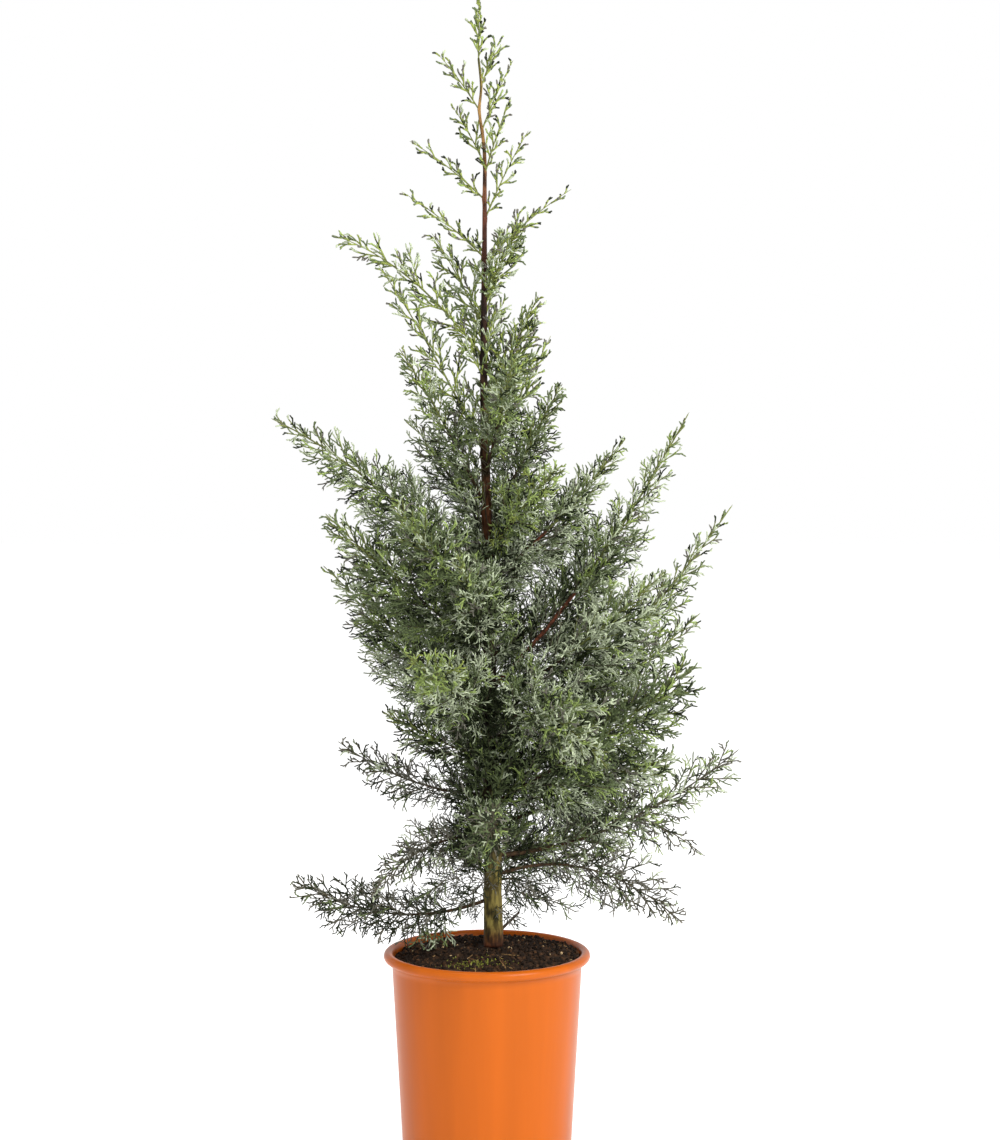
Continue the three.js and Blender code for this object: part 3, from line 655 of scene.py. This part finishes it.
def grow_trunk_shoots(random):
    """Short shoots that stand on the trunk itself and hide it inside the crown."""
    inner = together([trunk_stretch(TRUNK_SHOOTS_FROM, DEEP_TO, "middle_11"),
                      trunk_stretch(DEEP_TO, DENSE_TO, "middle_14")])
    upper = trunk_stretch(DENSE_TO, TRUNK_SHOOTS_TO, "upper_8")
    shoots = together([grow_on_trunk(inner, random, INNER_SHOOTS, SHOOT_RADIUS),
                       grow_on_trunk(upper, random, UPPER_SHOOTS, CORD)])
    shoots.out = random.uniform(0.2, 1, len(shoots))
    return shoots


def grow_foot_twigs(random):
    """Thin old twigs that hang round the trunk's foot."""
    trunk = trunk_stretch(FOOT_TWIGS_FROM, FOOT_TWIGS_TO, "lower_8")
    shoots = grow_on_trunk(trunk, random, FOOT_TWIGS, FOOT_TWIG_RADIUS, bend=-0.2, lift=FOOT_TWIG_FALL)
    shoots.out = random.uniform(0, 0.5, len(shoots))
    return shoots


def make_rim_shoots(branches):
    """Pale shoots that hang from the lowest limb on the left, inside the pot's rim."""
    limb = [NAMES.index(RIM_LIMB)]
    count = len(RIM_SHOOTS)
    foot = np.concatenate([branches.at(share, limb) for share, tip in RIM_SHOOTS])
    tip = np.array([tip for share, tip in RIM_SHOOTS], float)
    like = np.full(count, NAMES.index(RIM_LIKE))
    return Twigs(foot, (foot + tip) / 2, tip, SHOOT_RADIUS, like, np.full(count, RIM_OUT))


def grow_finer(parents, random, gap, opening, reach, radius, longest=np.inf, longer=1.0, **more):
    """Twigs of the next finer sort. For each parent, longer lengthens their reach and longest bounds it."""
    least, share, lost = reach
    longest, longer = (np.broadcast_to(value, len(parents)) for value in (longest, longer))

    def length_at(owner, along, open_angle):
        length = least + share * parents.length[owner] * (1 - lost * along)
        return np.minimum(longer[owner] * length, longest[owner])

    return grow(parents, random, gap, opening, length_at, radius, **more)


def gaps_on(parents, gap):
    """Gaps between twigs, which stand closer inside the crown than outside."""
    return gap[parents.branch] * mix(GAP_INSIDE, GAP_OUTSIDE, parents.out)


def grow_sprays(shoots, random):
    return grow_finer(shoots, random, gaps_on(shoots, SPRAY_GAP), SPRAY_OPENING, SPRAY_REACH, CORD,
                      longest=SPRAY[shoots.branch], longer=mix(SPRAY_INSIDE, SPRAY_OUTSIDE, shoots.out),
                      first=0.1, last=0.98, bend=0.06, lift=0.1)


def shown_wood(branches):
    """Points along the bare wood that the photograph shows."""
    points = [trunk_at(np.linspace(*SHOWN_TRUNK, 30))]
    for name, start, stop in SHOWN_LIMBS:
        points += [branches.at(share, [NAMES.index(name)]) for share in np.linspace(start, stop, 12)]
    return np.concatenate(points)


def hide(twigs, wood):
    """Whether twigs stand in front of points of wood."""
    hidden = np.zeros(len(twigs), bool)
    for share in (0, 0.35, 0.7, 1):
        away = twigs.at(share)[:, None] - wood[None]
        near = np.hypot(away[..., 0], away[..., 2]) < SHOWN_WIDTH
        hidden |= (near & (away[..., 1] < 0)).any(axis=1)
    return hidden


def grow_branchlets(sprays, random):
    return grow_finer(sprays, random, gaps_on(sprays, BRANCHLET_GAP), BRANCHLET_OPENING, BRANCHLET_REACH,
                      BRANCHLET_CORD * CORD, longest=BRANCHLET[sprays.branch], first=0.12, bend=0, lift=0)


def grow_forks(branchlets, random):
    branchlets = branchlets.only(FORKED[branchlets.branch] & (branchlets.length > LEAST_FORKED))
    return grow_finer(branchlets, random, FORK_GAP, FORK_OPENING, FORK_REACH, FORK_CORD * CORD,
                      first=0.25, last=0.95, bend=0, lift=0)


def deal_tones(sprays, random):
    """Each spray takes one tone, by the shares of its tier, and inner sprays more often take the dark shade
    tone as painted shade.
    """
    tone = np.zeros(len(sprays), int)
    draw = random.uniform(0, 1, len(sprays))

    def deal(which, shares):
        limits = np.cumsum(shares) / sum(shares)
        tone[which] = np.searchsorted(limits, draw[which])

    for index, tier in enumerate(TIER):
        deal(sprays.branch == index, tier["tones"])
    # Painted shade: inner sprays take the dark shade tone
    inner = PAINTED_SHADE_TIERS[sprays.branch] & (random.uniform(0, PAINTED_SHADE_WITHIN, len(sprays)) > sprays.out)
    tone[inner] = list(TONES).index("shade")
    for index, own in enumerate(OWNS):
        if "tones" in own:
            start, shares = own["tones"]
            deal((sprays.branch == index) & (sprays.out > start), shares)
    return tone


def young_stems(cords):
    """In the young top the lower half of a cord is yellow-green."""
    stems = cords.stretch(0, STEM_SHARE, 0.9 * cords.radius)
    stems.tone = np.full(len(stems), list(TONES).index("fresh"))
    return stems


# Meshes

def spindles(twigs, rings, sides, relief=0.0):
    """Closed slender solids along twigs, pointed at both ends, with a ring at each share of the length."""
    count = len(twigs)
    chord = unit(twigs.tip - twigs.foot)
    side = sideways(chord)
    other = np.cross(chord, side)
    points = [twigs.foot]
    for k, (share, swell) in enumerate(rings):
        middle = twigs.at(share)
        for i in range(sides):
            turn = 2 * math.pi * (i + 0.5 * k) / sides
            out = side * math.cos(turn) + other * math.sin(turn)
            place = middle + scaled(out, twigs.radius * swell)
            bump = relief * noise(place, BOUGH_BUMPS, SEED) if relief else 0
            points.append(place + out * np.asarray(bump)[..., None])
    points.append(twigs.tip)
    last = sides * len(rings) + 1
    faces = []
    for i in range(sides):
        j = (i + 1) % sides
        faces.append((0, 1 + j, 1 + i))
        for k in range(len(rings) - 1):
            low, high = 1 + k * sides, 1 + (k + 1) * sides
            faces.append((low + i, low + j, high + i))
            faces.append((low + j, high + j, high + i))
        faces.append((last - sides + i, last - sides + j, last))
    offsets = np.arange(count)[:, None, None] * (last + 1)
    return np.stack(points, axis=1).reshape(-1, 3), (np.array(faces)[None] + offsets).reshape(-1, 3)


def tapered(first, last, count, start, loss):
    """Rings along a spindle whose radius lessens evenly."""
    return [(share, start - loss * share) for share in np.linspace(first, last, count)]


def joined(meshes):
    """Several (points, faces) as one."""
    points = np.vstack([mesh[0] for mesh in meshes])
    starts = np.cumsum([0] + [len(mesh[0]) for mesh in meshes[:-1]])
    return points, np.vstack([mesh[1] + start for mesh, start in zip(meshes, starts)])


def rings_mesh(rings):
    """A skin over a stack of rings of points, each with as many points, closed at both ends."""
    count, sides = rings.shape[:2]
    i = np.arange(sides)
    j = (i + 1) % sides
    faces = []
    for k in range(count - 1):
        low, high = k * sides, (k + 1) * sides
        faces.append(np.stack([low + i, low + j, high + j], axis=1))
        faces.append(np.stack([low + i, high + j, high + i], axis=1))
    foot, top = count * sides, count * sides + 1
    faces.append(np.stack([np.full(sides, foot), j, i], axis=1))
    high = (count - 1) * sides
    faces.append(np.stack([high + i, high + j, np.full(sides, top)], axis=1))
    points = np.vstack([rings.reshape(-1, 3), rings[0].mean(axis=0), rings[-1].mean(axis=0)])
    return points, np.vstack(faces)


def new_object(name, mesh_data, material, smooth=True):
    points, faces = mesh_data
    mesh = bpy.data.meshes.new(name)
    mesh.vertices.add(len(points))
    mesh.vertices.foreach_set("co", (points * MM).astype(np.float32).ravel())
    mesh.loops.add(faces.size)
    mesh.loops.foreach_set("vertex_index", faces.astype(np.int32).ravel())
    mesh.polygons.add(len(faces))
    mesh.polygons.foreach_set("loop_start", np.arange(0, faces.size, 3, dtype=np.int32))
    mesh.polygons.foreach_set("use_smooth", np.full(len(faces), smooth))
    mesh.update(calc_edges=True)
    mesh.materials.append(material)
    made = bpy.data.objects.new(name, mesh)
    bpy.context.scene.collection.objects.link(made)
    return made


def add_piece(name, mesh_data, material, nodes, smooth=True):
    """A piece of the object, which stands for nodes of the frame."""
    piece = new_object(name, mesh_data, material, smooth)
    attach(piece, "root")
    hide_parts(*nodes)
    return piece


# Materials

class Tree:
    """The node tree of a material or of the world, and ways to add nodes to it."""

    def __init__(self, owner):
        owner.use_nodes = True
        self.nodes = owner.node_tree.nodes
        self.links = owner.node_tree.links

    def feed(self, node, **inputs):
        """Sets a node's inputs, or links them to outputs. An underscore stands for a space in a name."""
        for name, value in inputs.items():
            socket = node.inputs[name.replace("_", " ")]
            if isinstance(value, bpy.types.NodeSocket):
                self.links.new(value, socket)
            else:
                socket.default_value = value
        return node.outputs

    def add(self, kind, **inputs):
        return self.feed(self.nodes.new("ShaderNode" + kind), **inputs)

    def place(self, stretch=(1, 1, 1)):
        """The place on the object, stretched along an axis where the pattern is."""
        return self.add("Mapping", Vector=self.add("TexCoord")["Object"], Scale=stretch)["Vector"]

    def rise(self, coordinates):
        """The upright part of a place or of a direction."""
        return self.add("SeparateXYZ", Vector=self.add("TexCoord")[coordinates])["Z"]

    def noise(self, vector, scale):
        return self.add("TexNoise", Vector=vector, Scale=scale, Detail=3)["Fac"]

    def ramp(self, factor, stops):
        """A colour ramp: each stop is a share and a screen colour."""
        node = self.nodes.new("ShaderNodeValToRGB")
        elements = node.color_ramp.elements
        while len(elements) < len(stops):
            elements.new(0.5)
        for element, (share, colour) in zip(elements, stops):
            element.position = share
            element.color = linear(colour)
        return self.feed(node, Fac=factor)["Color"]

    def multiplied(self, first, second, factor):
        node = self.nodes.new("ShaderNodeMix")
        node.data_type = "RGBA"
        node.blend_type = "MULTIPLY"
        return self.feed(node, Factor=factor, A=first, B=second)["Result"]

    def bump(self, height, strength, distance):
        return self.add("Bump", Height=height, Strength=strength, Distance=distance)["Normal"]


def shader(name, roughness, specular=0.2):
    """A new material, its node tree and its shader."""
    material = bpy.data.materials.new(name)
    tree = Tree(material)
    principled = tree.nodes["Principled BSDF"]
    tree.feed(principled, Roughness=roughness, Specular_IOR_Level=specular)
    return material, tree, principled


def tint_stops(colour, darkest, lightest):
    """Ramp stops for an uneven tint of one colour."""
    return [(share, tuple(min(255, channel * factor) for channel in colour))
            for share, factor in ((0.3, darkest), (0.7, lightest))]


def speckled(name, colour, roughness, scale, contrast=0.18, bump=0.3):
    """A material of one colour with a fine uneven tint and a fine grain."""
    material, tree, principled = shader(name, roughness)
    vector = tree.place()
    tint = tree.ramp(tree.noise(vector, scale), tint_stops(colour, 1 - contrast, 1 + contrast))
    grain = tree.bump(tree.noise(vector, 6 * scale), bump, distance=0.0005)
    tree.feed(principled, Base_Color=tint, Normal=grain)
    return material


def bark_and_shade_material():
    """The trunk's bark changes with height, with a darker band inside the crown that is painted shade, under
    long streaks and darker mottles.
    """
    material, tree, principled = shader("bark", roughness=0.8)
    height = tree.add("MapRange", Value=tree.rise("Object"), From_Min=GROUND * MM, From_Max=TRUNK_TIP[2] * MM)
    # Bark colours by height, with painted shade in the darker band inside the crown
    bark_and_shade = tree.ramp(height["Result"], BARK_AND_SHADE_BY_HEIGHT)
    vector = tree.place((1, 1, 0.18))
    streak = tree.ramp(tree.noise(vector, scale=420), BARK_STREAKS)
    mottle = tree.ramp(tree.noise(tree.place((1, 1, 0.5)), scale=150), BARK_MOTTLES)
    colour = tree.multiplied(tree.multiplied(bark_and_shade, streak, factor=0.75), mottle, factor=0.8)
    grain = tree.bump(tree.noise(vector, scale=900), strength=0.6, distance=0.0008)
    tree.feed(principled, Base_Color=colour, Normal=grain)
    return material


def plastic_material():
    """Moulded plastic: a faint uneven tint and a very fine grain under a satin gloss."""
    material, tree, principled = shader("pot_plastic", roughness=0.3, specular=0.14)
    stops = tint_stops(ORANGE, darkest=0.96, lightest=1.03)
    tint = tree.ramp(tree.noise(tree.place((1, 1, 0.05)), scale=45), stops)
    grain = tree.bump(tree.noise(tree.place(), scale=1800), strength=0.05, distance=0.0003)
    tree.feed(principled, Base_Color=tint, Normal=grain)
    return material


# Pot

def wall_radius(height):
    """The outside of the pot's wall."""
    return mix(POT_BASE_RADIUS, POT_BODY_RADIUS, height / LIP_FOOT)


def inner_wall_radius(height):
    return wall_radius(height) - POT_WALL


def lathe(profile, sides):
    """Rings of points turned round the upright axis from (radius, height) pairs."""
    circle = level(1, turns_of(sides))
    return np.stack([radius * circle + height * UP for radius, height in profile])


def rounding(radius, height, size, start, stop, steps):
    """Part of a round in a profile. Its outermost point and its top are at this radius and height."""
    turns = np.radians(np.linspace(start, stop, steps))
    return [(radius + size * (math.cos(turn) - 1), height + size * (math.sin(turn) - 1)) for turn in turns]


def pot_profile():
    """Once round the pot's section: the underside, the foot, the wall, the lip, the inside and the floor."""
    profile = [(DRAIN_RING / 4, 0), (DRAIN_RING, 0), (POT_BASE_RADIUS - POT_FOOT_BEVEL, 0)]
    profile += rounding(POT_BASE_RADIUS, 2 * POT_FOOT_BEVEL, POT_FOOT_BEVEL, -70, -10, 5)
    for height in mix(POT_FOOT_BEVEL, LIP_FOOT, np.linspace(0, 1, 24)[1:]):
        profile.append((wall_radius(height), height))
    profile += rounding(LIP_RADIUS, POT_HEIGHT, LIP_ROUND, LIP_FROM, LIP_TO, 22)
    for height in (LIP_FOOT, POT_FLOOR + 2, POT_FLOOR):
        profile.append((inner_wall_radius(height), height))
    return profile + [(DRAIN_RING, POT_FLOOR), (DRAIN_RING / 4, POT_FLOOR)]


def make_pot():
    """The pot is turned from its profile, and the drain holes are cut through its floor."""
    turned = rings_mesh(lathe(pot_profile(), POT_SIDES))
    pot = add_piece("pot_body", turned, plastic_material(), ["pot"])
    bore = lathe([(DRAIN_RADIUS, -POT_FLOOR), (DRAIN_RADIUS, 2 * POT_FLOOR)], DRAIN_SIDES)
    holes = [rings_mesh(bore + place) for place in level(DRAIN_RING, turns_of(DRAIN_HOLES))]
    cutter = new_object("drain_cutter", joined(holes), pot.data.materials[0])
    cut = pot.modifiers.new("drain_holes", "BOOLEAN")
    cut.object = cutter
    cut.operation = "DIFFERENCE"
    cut.solver = "EXACT"
    bpy.context.view_layer.update()
    pierced = bpy.data.meshes.new_from_object(pot.evaluated_get(bpy.context.evaluated_depsgraph_get()))
    pot.modifiers.clear()
    pot.data = pierced
    bpy.data.objects.remove(cutter)


# Soil

def rough_soil(x, y):
    """The soil's surface with clods and crumbs."""
    places = np.stack([x, y, np.zeros_like(x)], axis=-1)
    clods = sum(height * noise(places, size, seed) for height, size, seed in SOIL_CLODS)
    return soil_height(x, y) + clods - CLOD_SINK


def make_soil(random):
    """The bed fills the pot, and crumbs, straws and moss lie on it."""
    edge = inner_wall_radius(LIP_FOOT) - SOIL_GAP
    foot = POT_FLOOR + SOIL_GAP
    turn = turns_of(SOIL_SIDES)
    sunk = [(inner_wall_radius(foot) - SOIL_GAP, foot), (edge, SOIL_EDGE - BED_DROP)]
    rings = [lathe(sunk, SOIL_SIDES)]
    for radius in np.linspace(edge, 1, SOIL_RINGS):
        x, y = radius * np.cos(turn), radius * np.sin(turn)
        rings.append(np.stack([x, y, rough_soil(x, y)], axis=1)[None])
    earth = speckled("soil", SOIL_BED, roughness=0.95, scale=260, contrast=0.55, bump=0.9)
    add_piece("soil_bed", rings_mesh(np.concatenate(rings)), earth, ["soil"])
    for sort in CRUMBS:
        scatter_crumbs(*sort, edge, random)
    lay_straws(random, edge)
    lay_moss(random)


def scatter_crumbs(name, count, sizes, colour, edge, random):
    """Uneven crumbs, each a spindle with two rings, half sunk in the soil."""
    radius = edge * np.sqrt(random.uniform(0.02, 0.97, count))
    turn = random.uniform(0, 2 * math.pi, count)
    x, y = radius * np.cos(turn), radius * np.sin(turn)
    size = random.uniform(*sizes, count)
    middle = np.stack([x, y, rough_soil(x, y) + 0.25 * size], axis=1)
    lean = scaled(unit(random.normal(0, 1, (count, 3))), size)
    skew = scaled(unit(random.normal(0, 1, (count, 3))), 0.3 * size)
    crumbs = loose(middle - lean, middle + skew, middle + lean, 0.75 * size)
    material = speckled(name, colour, roughness=0.9, scale=400, contrast=0.35)
    add_piece(name, spindles(crumbs, CRUMB_RINGS, CRUMB_SIDES), material, ["soil"], smooth=False)


def lay_straws(random, edge):
    """Thin dry straws lying on the soil."""
    radius = 0.92 * edge * np.sqrt(random.uniform(0.1, 1, STRAWS))
    middle = level(radius, random.uniform(0, 2 * math.pi, STRAWS))
    heading = random.uniform(0, 2 * math.pi, STRAWS)
    half = level(random.uniform(*STRAW_HALVES, STRAWS), heading)
    ends = []
    for end in (middle - half, middle, middle + half):
        reach = np.hypot(end[:, 0], end[:, 1])
        end = scaled(end, np.minimum(1, 0.96 * edge / np.maximum(reach, 1e-6)))
        end[:, 2] = rough_soil(end[:, 0], end[:, 1]) + random.uniform(0.3, 1.6, STRAWS)
        ends.append(end)
    straws = loose(*ends, random.uniform(0.35, 0.7, STRAWS))
    mesh = spindles(straws, STRAW_RINGS, CRUMB_SIDES)
    add_piece("soil_straws", mesh, speckled("straw", STRAW, roughness=0.8, scale=500), ["soil"])


def lay_moss(random):
    """A small patch of moss in front of the trunk."""
    x, y = (random.normal(place, width, MOSS_SHOOTS) for place, width in zip(MOSS_PLACE, MOSS_WIDTHS))
    foot = np.stack([x, y, rough_soil(x, y) - 0.4], axis=1)
    heading = unit(random.normal(0, 1, (MOSS_SHOOTS, 3)) + 1.3 * UP)
    lean = scaled(heading, random.uniform(1.2, 2.8, MOSS_SHOOTS))
    moss = loose(foot, foot + 0.6 * lean, foot + lean, random.uniform(0.3, 0.55, MOSS_SHOOTS))
    material = speckled("moss", MOSS, roughness=0.8, scale=300, contrast=0.3)
    add_piece("soil_moss", spindles(moss, MOSS_RINGS, MOSS_SIDES), material, ["soil"])


# Trunk

def make_trunk(branches):
    """The trunk has long bark ridges, a faintly lobed foot, a collar round each branch and one dead stub."""
    heights = np.linspace(TRUNK_LINE[0, 2], TRUNK_TIP[2], TRUNK_RINGS)
    turn = turns_of(TRUNK_SIDES)
    circle = level(1, turn)
    radius = np.repeat(trunk_radius(heights)[:, None], TRUNK_SIDES, axis=1)
    around = RIDGE_RING * circle[None] + np.outer(heights, UP)[:, None]
    ridges = sum(height * noise(around, size, seed) for height, size, seed in BARK_RIDGES)
    relief = np.clip(radius / TRUNK_RADIUS, LEAST_RIDGES, 1) * ridges
    foot = np.exp(-(heights - GROUND) / FLARE_HEIGHT)[:, None]
    relief = relief + foot * LOBE_RELIEF * np.sin(FOOT_LOBES * turn + 1)[None]
    for k in range(1, len(branches)):
        away = branches.heading(0.0, [k])[0]
        facing = np.clip(circle @ unit(away * (1, 1, 0)), 0, 1) ** 3
        near = np.exp(-((heights - branches.foot[k, 2] - 1) / (COLLAR_REACH + branches.radius[k])) ** 2)
        relief = relief + COLLAR_RELIEF * branches.radius[k] * near[:, None] * facing[None]
    rings = trunk_at(heights)[:, None] + (radius + relief)[..., None] * circle
    add_piece("trunk_bark", rings_mesh(rings), bark_and_shade_material(), ["trunk"])
    foot, tip = trunk_at([GROUND + STUB_RISE]), np.array([STUB_TIP], float)
    stub = loose(foot, (foot + tip) / 2, tip, STUB_RADIUS)
    mesh = spindles(stub, tapered(0.05, 0.985, 14, 1.15, 0.25), BOUGH_SIDES, relief=STUB_RELIEF)
    dead = speckled("dead_wood", DEAD_WOOD, roughness=0.85, scale=300, contrast=0.35, bump=0.6)
    add_piece("trunk_stub", mesh, dead, ["trunk"])


# Foliage and its wood

FOLIAGE = ["foliage_" + name for name in NAMES]
BOUGHS = ["bough_" + name for name, bare in zip(NAMES, BARE) if bare]


def make_wood(branches, shoots):
    """Branch stems, red-brown where they are old and green where they are young, and the shoots on them."""
    red_wood = np.array([name in RED_WOOD for name in NAMES])
    wood = branches.stretch(0, WOOD_SHARE, branches.radius)
    slender = branches.stretch(0, WOOD_SHARE, 0.66 * branches.radius)
    young = branches.stretch(WOOD_SHARE, 1, np.where(DENSE, 0.55, 0.4) * branches.radius)
    wood_rings = tapered(0.004, 0.99, 24, 1, 0.4)
    young_rings = tapered(0.004, 0.985, 16, 1.05, 0.7)
    red = speckled("bough_bark", RED_BOUGH, roughness=0.75, scale=300, contrast=0.4, bump=0.6)
    dark = speckled("dark_bark", DARK_BOUGH, roughness=0.85, scale=300, contrast=0.4, bump=0.6)
    green = speckled("green_twig", GREEN_TWIG, roughness=0.6, scale=260, contrast=0.25)
    grey = speckled("grey_twig", GREY_TWIG, roughness=0.7, scale=260, contrast=0.3)
    for name, which, bark in (("boughs_red", red_wood, red), ("boughs_dark", DENSE & ~red_wood, dark)):
        mesh = spindles(wood.only(which), wood_rings, BOUGH_SIDES, relief=BOUGH_RELIEF)
        add_piece(name, mesh, bark, BOUGHS + FOLIAGE)
    stems = [spindles(young.only(~LOWER), young_rings, STEM_SIDES),
             spindles(slender.only(~DENSE), wood_rings, STEM_SIDES)]
    add_piece("stems_green", joined(stems), green, FOLIAGE)
    woody = ((shoots.out < WOODY_WITHIN) & DENSE[shoots.branch]) | LOWER[shoots.branch]
    twigs = [spindles(shoots.only(woody), TWIG_RINGS, TWIG_SIDES),
             spindles(young.only(LOWER), young_rings, STEM_SIDES)]
    add_piece("twigs_grey", joined(twigs), grey, FOLIAGE)
    twigs = shoots.only(DENSE[shoots.branch] & ~woody)
    add_piece("twigs_green", spindles(twigs, TWIG_RINGS, TWIG_SIDES), green, FOLIAGE)


def make_leaves(shoots, sprays, branchlets, forks):
    """Cords of scale leaves, one piece or more for each tone."""
    fine = DENSE[branchlets.branch] & (branchlets.out < FINE_WITHIN)
    shapes = [(sprays.only(DENSE[sprays.branch]), SPRAY_RINGS), (branchlets.only(~fine), BRANCHLET_RINGS),
              (branchlets.only(fine), FINE_RINGS), (forks, FORK_RINGS)]
    for cords in (shoots.only(~DENSE[shoots.branch]), sprays.only(~DENSE[sprays.branch])):
        shapes.append((young_stems(cords), STEM_RINGS))
        shapes.append((cords.stretch(STEM_SHARE, 1, cords.radius), TIP_RINGS))
    for tone, (name, colour) in enumerate(TONES.items()):
        material = speckled("leaf_" + name, colour, roughness=0.6, scale=180, contrast=0.16, bump=0.5)
        own = [(twigs.only(twigs.tone == tone), rings) for twigs, rings in shapes]
        triangles = sum(len(twigs) * 2 * LEAF_SIDES * len(rings) for twigs, rings in own)
        parts = max(1, math.ceil(triangles / PIECE_TRIANGLES))
        for part in range(parts):
            meshes = []
            for twigs, rings in own:
                keep = np.arange(len(twigs)) * parts // max(1, len(twigs)) == part
                meshes.append(spindles(twigs.only(keep), rings, LEAF_SIDES))
            add_piece(f"leaves_{name}_{part + 1}", joined(meshes), material, FOLIAGE)


# Stage, light and camera

def make_stage():
    """A plain pale floor, a white surround and two soft lights."""
    corners = FLOOR_HALF * np.array([(-1, -1, 0), (1, -1, 0), (1, 1, 0), (-1, 1, 0)], float)
    material, tree, principled = shader("pale_floor", roughness=0.9, specular=0.1)
    grey = (FLOOR_GREY, FLOOR_GREY, FLOOR_GREY, 1)
    tree.feed(principled, Base_Color=grey, Emission_Color=(1, 1, 1, 1), Emission_Strength=FLOOR_GLOW)
    floor = new_object("floor", (corners, np.array([(0, 1, 2), (0, 2, 3)])), material)
    make_world()
    bpy.context.scene.view_settings.view_transform = "Standard"
    for light in LIGHTS:
        add_light(*light)


def make_world():
    """White all round the horizon, and less bright overhead."""
    world = bpy.data.worlds.new("studio")
    tree = Tree(world)
    sky = tree.ramp(tree.rise("Generated"), [(0.0, WHITE), (0.35, WHITE), (0.65, DIM_WHITE)])
    tree.feed(tree.nodes["Background"], Color=sky)
    bpy.context.scene.world = world


def add_light(name, place, size, power):
    lamp = bpy.data.lights.new(name, "AREA")
    lamp.size = size
    lamp.energy = power
    light = bpy.data.objects.new(name, lamp)
    light.location = Vector(place) * MM
    aim = Vector(LIGHT_AIM) * MM
    light.rotation_euler = (aim - light.location).to_track_quat("-Z", "Y").to_euler()
    bpy.context.scene.collection.objects.link(light)


def make_camera():
    camera = bpy.data.objects.new("camera", bpy.data.cameras.new("camera"))
    camera.location = Vector(CAMERA_PLACE) * MM
    camera.rotation_euler = (math.radians(90 - CAMERA_PITCH), 0, 0)
    camera.data.lens = CAMERA_LENS
    camera.data.sensor_width = SENSOR_WIDTH
    bpy.context.scene.collection.objects.link(camera)
    bpy.context.scene.camera = camera


random = np.random.default_rng(SEED)
branches = make_branches()
shoots = together([grow_shoots(branches, random), grow_trunk_shoots(random), grow_foot_twigs(random),
                   make_rim_shoots(branches)])
shoots.tone = deal_tones(shoots, random)
sprays = grow_sprays(shoots, random)
sprays = sprays.only(~hide(sprays, shown_wood(branches)))
sprays.tone = deal_tones(sprays, random)
branchlets = grow_branchlets(sprays, random)
forks = grow_forks(branchlets, random)

make_pot()
make_soil(random)
make_trunk(branches)
make_wood(branches, shoots)
make_leaves(shoots, sprays, branchlets, forks)
make_stage()
make_camera()
